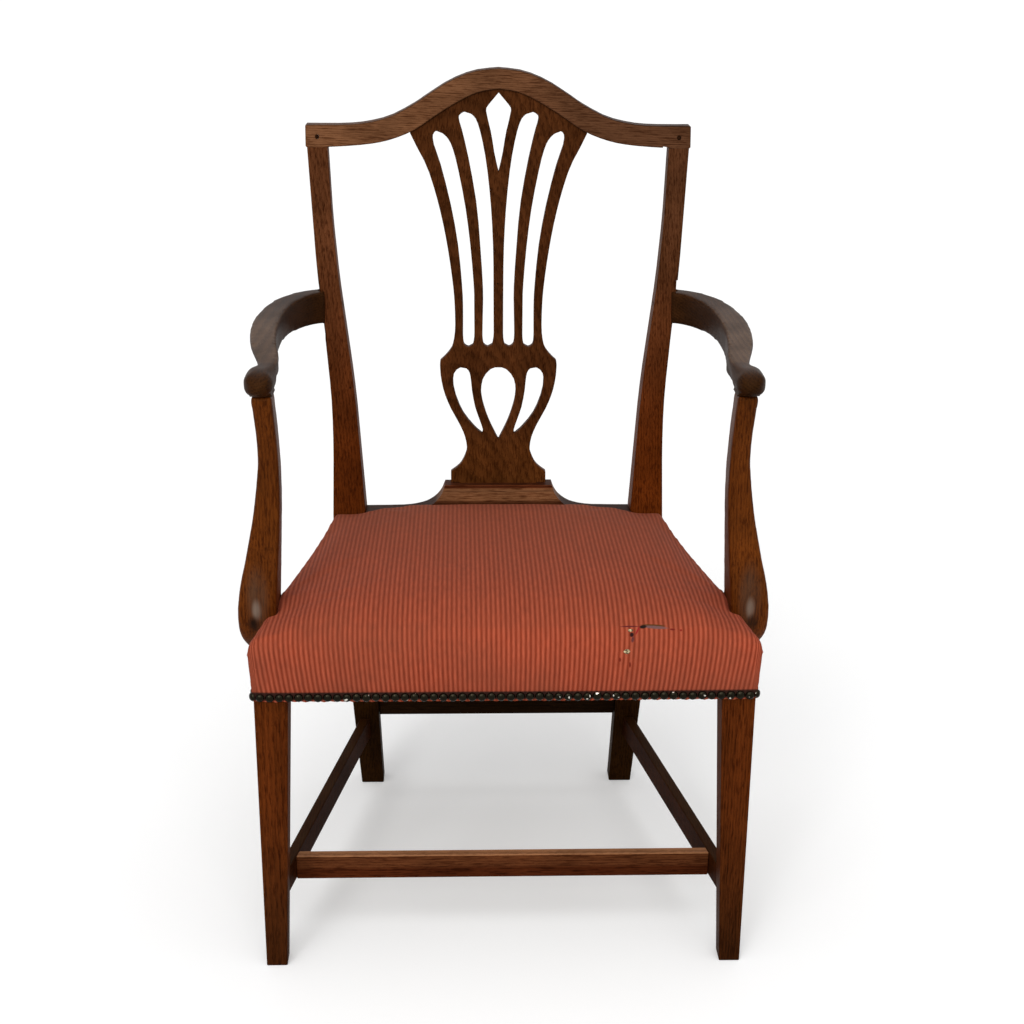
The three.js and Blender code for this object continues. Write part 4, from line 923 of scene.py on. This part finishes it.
# Wadding. Two tufts of the cream cotton wadding between pad and cover, pulled
# out through the tear and matted with dust.
wadding, tree, skin, place = fresh("cotton wadding")
fluff = add(tree, "TexNoise", {"Vector": place.outputs["Object"], "Scale": 420, "Detail": 3})
tone = add(tree, "MapRange", {"Value": fluff.outputs["Fac"], "From Min": 0.4, "From Max": 0.6})
shade = add(tree, "Mix", {0: tone.outputs[0], 6: linear("#4c4028"), 7: linear("#cfbc92")},
            data_type="RGBA")
bump = add(tree, "Bump", {"Height": fluff.outputs["Fac"], "Strength": 0.8, "Distance": 0.4 * MM})
tree.links.new(shade.outputs[2], skin.inputs["Base Color"])
tree.links.new(bump.outputs[0], skin.inputs["Normal"])
skin.inputs["Roughness"].default_value = 1.0
for name, x, z, wide, high, seed in (("wadding_above", 133.8, 423.6, 5.4, 3.8, 3),
                                     ("wadding_below", 130.8, 398.8, 7.2, 6.0, 8)):
    spot, facing = place_on_cover(x * MM, z * MM)
    bpy.ops.mesh.primitive_ico_sphere_add(subdivisions=3, radius=MM / 2, location=(0, 0, 0))
    tuft = bpy.context.object
    tuft.name = name
    bpy.ops.object.mode_set(mode="EDIT")
    bpy.ops.transform.vertex_random(offset=0.3 * MM, seed=seed)
    bpy.ops.transform.resize(value=(wide, 2.6, high))
    bpy.ops.mesh.vertices_smooth(factor=0.5, repeat=2)
    bpy.ops.transform.translate(value=spot)
    bpy.ops.object.mode_set(mode="OBJECT")
    bpy.ops.object.shade_smooth()
    settle(tuft, wadding, "stuffing")

# Nails. Domed brass nails, gone nearly black, driven side by side through the
# hem: a row along the front rail and one down each side rail.
HEAD = 5.0 * MM
random.seed(7)

# Brass gone black but glossy, so that it shines only where something bright faces it.
brass, tree, skin, place = fresh("blackened brass")
# tarnish in patches of 4 mm
tarnish = add(tree, "TexNoise", {"Vector": place.outputs["Object"], "Scale": 260, "Detail": 3})
shade = add(tree, "Mix", {0: tarnish.outputs["Fac"], 6: linear("#0a0a07"),
                          7: linear("#262114")}, data_type="RGBA")
# painted glints: pale spots of a millimetre on a few heads, where a highlight would show
wear_and_painted_light_amount = add(tree, "TexNoise", {"Vector": place.outputs["Object"], "Scale": 210, "Detail": 0})
bare = add(tree, "MapRange", {"Value": wear_and_painted_light_amount.outputs["Fac"], "From Min": 0.785,
                              "From Max": 0.83})
shade = add(tree, "Mix", {0: bare.outputs[0], 6: shade.outputs[2],
                          7: linear("#e2ddd0")}, data_type="RGBA")
tree.links.new(shade.outputs[2], skin.inputs["Base Color"])
skin.inputs["Metallic"].default_value = 0.9
skin.inputs["Roughness"].default_value = 0.15

bpy.ops.mesh.primitive_uv_sphere_add(segments=12, ring_count=8, radius=HEAD)
head = bpy.context.object
bpy.ops.object.mode_set(mode="EDIT")
bpy.ops.mesh.bisect(plane_co=(0, 0, 0), plane_no=(0, 0, 1), clear_inner=True)
bpy.ops.mesh.select_all(action="SELECT")
bpy.ops.transform.resize(value=(1, 1, 0.6))
bpy.ops.object.mode_set(mode="OBJECT")
bpy.ops.object.shade_smooth()


def drive(spot, facing):
    """A copy of the head, driven in at a spot, never quite straight or level."""
    nail = bpy.data.objects.new("nail", head.data.copy())
    bpy.context.scene.collection.objects.link(nail)
    lean = Vector((random.uniform(-1, 1), 0, random.uniform(-1, 1))) * 0.07
    turn = (facing.normalized() + lean).to_track_quat("Z", "Y").to_matrix().to_4x4()
    sag = Vector((0, 0, random.uniform(-0.35, 0.35) * MM))
    nail.matrix_world = (Matrix.Translation(spot + sag) @ turn
                         @ Matrix.Scale(random.uniform(0.95, 1.03), 4))
    return nail


def nail_row(name, node, nails):
    """Joins nails into the row that takes a node's place."""
    only(nails[0])
    for nail in nails:
        nail.select_set(True)
    bpy.ops.object.join()
    bpy.ops.object.transform_apply(location=True, rotation=True, scale=True)
    nails[0].name = name
    settle(nails[0], brass, "antique_brass", node)


def along(start, end):
    """Places for nails a pitch apart from one end of a row to the other."""
    count = round((end - start).length / PITCH)
    return [start.lerp(end, i / count) for i in range(count + 1)]


low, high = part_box("front_nails")
level = (low.z + high.z) / 2 - 0.9 * MM
reach = HALF_FRONT - 7.5 * MM
nails = [drive(spot, Vector((0, -1, 0))) for spot in
         along(Vector((-reach, high.y, level)), Vector((reach, high.y, level)))]
for way in (-1, 1):
    corner = Vector((way * (HALF_FRONT + 0.4 * MM), FRONT_Y + 0.2 * MM, level))
    nails.append(drive(corner, Vector((way, -0.7, 0))))
nail_row("nails_front", "front_nails", nails)
for way, side in ((-1, "left"), (1, "right")):
    low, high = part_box("side_nails_" + side)
    ends = [Vector((way * (flank_at(y) + 2.4 * MM), y, level))
            for y in (low.y + 1.5 * HEAD, high.y - HEAD)]
    nails = [drive(spot, Vector((way, -SLOPE, 0))) for spot in along(*ends)]
    nail_row("nails_" + side, "side_nails_" + side, nails)
bpy.data.objects.remove(head)

# Floor, light and camera. A white paper sweep under broad soft light from above
# and from the camera's side, seen from where the photograph was taken.
bpy.ops.mesh.primitive_plane_add(size=80, location=(0, 20, 0))
floor = bpy.context.object
floor.name = "floor"
paper = bpy.data.materials.new("white paper sweep")
paper.use_nodes = True
tree = paper.node_tree
tree.nodes.clear()
# over-lit where the camera sees it, so that it goes white, but not as a light
matt = add(tree, "BsdfDiffuse", {"Color": linear("#e4e4e4")})
light = add(tree, "Emission", {"Color": (1, 1, 1, 1), "Strength": 0.25})
both = add(tree, "AddShader", {0: matt.outputs[0], 1: light.outputs[0]})
path = add(tree, "LightPath")
seen = add(tree, "MixShader", {0: path.outputs["Is Camera Ray"], 1: matt.outputs[0],
                               2: both.outputs[0]})
add(tree, "OutputMaterial", {0: seen.outputs[0]})
floor.data.materials.append(paper)

world = bpy.data.worlds.new("studio")
world.use_nodes = True
bpy.context.scene.world = world
tree = world.node_tree
tree.nodes.clear()
# white to the camera and in reflections, but dimmer as a light than the lamps
path = add(tree, "LightPath")
straight = add(tree, "Math", {0: path.outputs["Is Camera Ray"],
                              1: path.outputs["Is Glossy Ray"]}, operation="MAXIMUM")
straight = add(tree, "Math", {0: straight.outputs[0],
                              1: path.outputs["Is Transmission Ray"]}, operation="MAXIMUM")
strength = add(tree, "MapRange", {"Value": straight.outputs[0], "To Min": 0.42,
                                  "To Max": 1.0})
sky = add(tree, "Background", {"Color": (1, 1, 1, 1), "Strength": strength.outputs[0]})
add(tree, "OutputWorld", {0: sky.outputs[0]})


def lamp(name, angle, spread, power):
    """A distant lamp so wide that its shadows are soft, aimed by its turn in degrees."""
    data = bpy.data.lights.new(name, "SUN")
    data.energy = power
    data.angle = math.radians(spread)
    made = bpy.data.objects.new(name, data)
    made.rotation_euler = [math.radians(a) for a in angle]
    bpy.context.scene.collection.objects.link(made)


lamp("overhead", (18, 0, 0), 70, 1.0)
lamp("front", (52, 0, -10), 60, 1.3)
lamp("window", (58, 0, -24), 13, 0.42)

# The camera was fitted to the photograph. In pixels of its frame of 1024 by 1024:
FRAME = 1024
FOCAL = 1660.641
MIDDLE_X, MIDDLE_Y = 511.407, 512.239
# and in metres and degrees:
EYE = (-0.047439, FRONT_Y - 1.636744, 1.154464)
PITCH_DOWN, YAW, ROLL = 19.994, 1.819, 0.439
SENSOR = 36  # millimetres
camera_data = bpy.data.cameras.new("photograph")
camera_data.sensor_width = SENSOR
camera_data.lens = FOCAL / FRAME * SENSOR
camera_data.shift_x = (FRAME / 2 - MIDDLE_X) / FRAME
camera_data.shift_y = (MIDDLE_Y - FRAME / 2) / FRAME
camera_data.clip_end = 200
camera = bpy.data.objects.new("photograph", camera_data)
pitch, yaw, roll = (math.radians(a) for a in (PITCH_DOWN, YAW, ROLL))
level_right = Vector((math.cos(yaw), -math.sin(yaw), 0))
forward = Vector((math.sin(yaw) * math.cos(pitch), math.cos(yaw) * math.cos(pitch),
                  -math.sin(pitch)))
level_up = level_right.cross(forward)
right = math.cos(roll) * level_right + math.sin(roll) * level_up
above = math.cos(roll) * level_up - math.sin(roll) * level_right
turned = Matrix((right, above, -forward)).transposed().to_4x4()
camera.matrix_world = Matrix.Translation(EYE) @ turned
bpy.context.scene.collection.objects.link(camera)
bpy.context.scene.camera = camera
bpy.context.scene.view_settings.view_transform = "Standard"
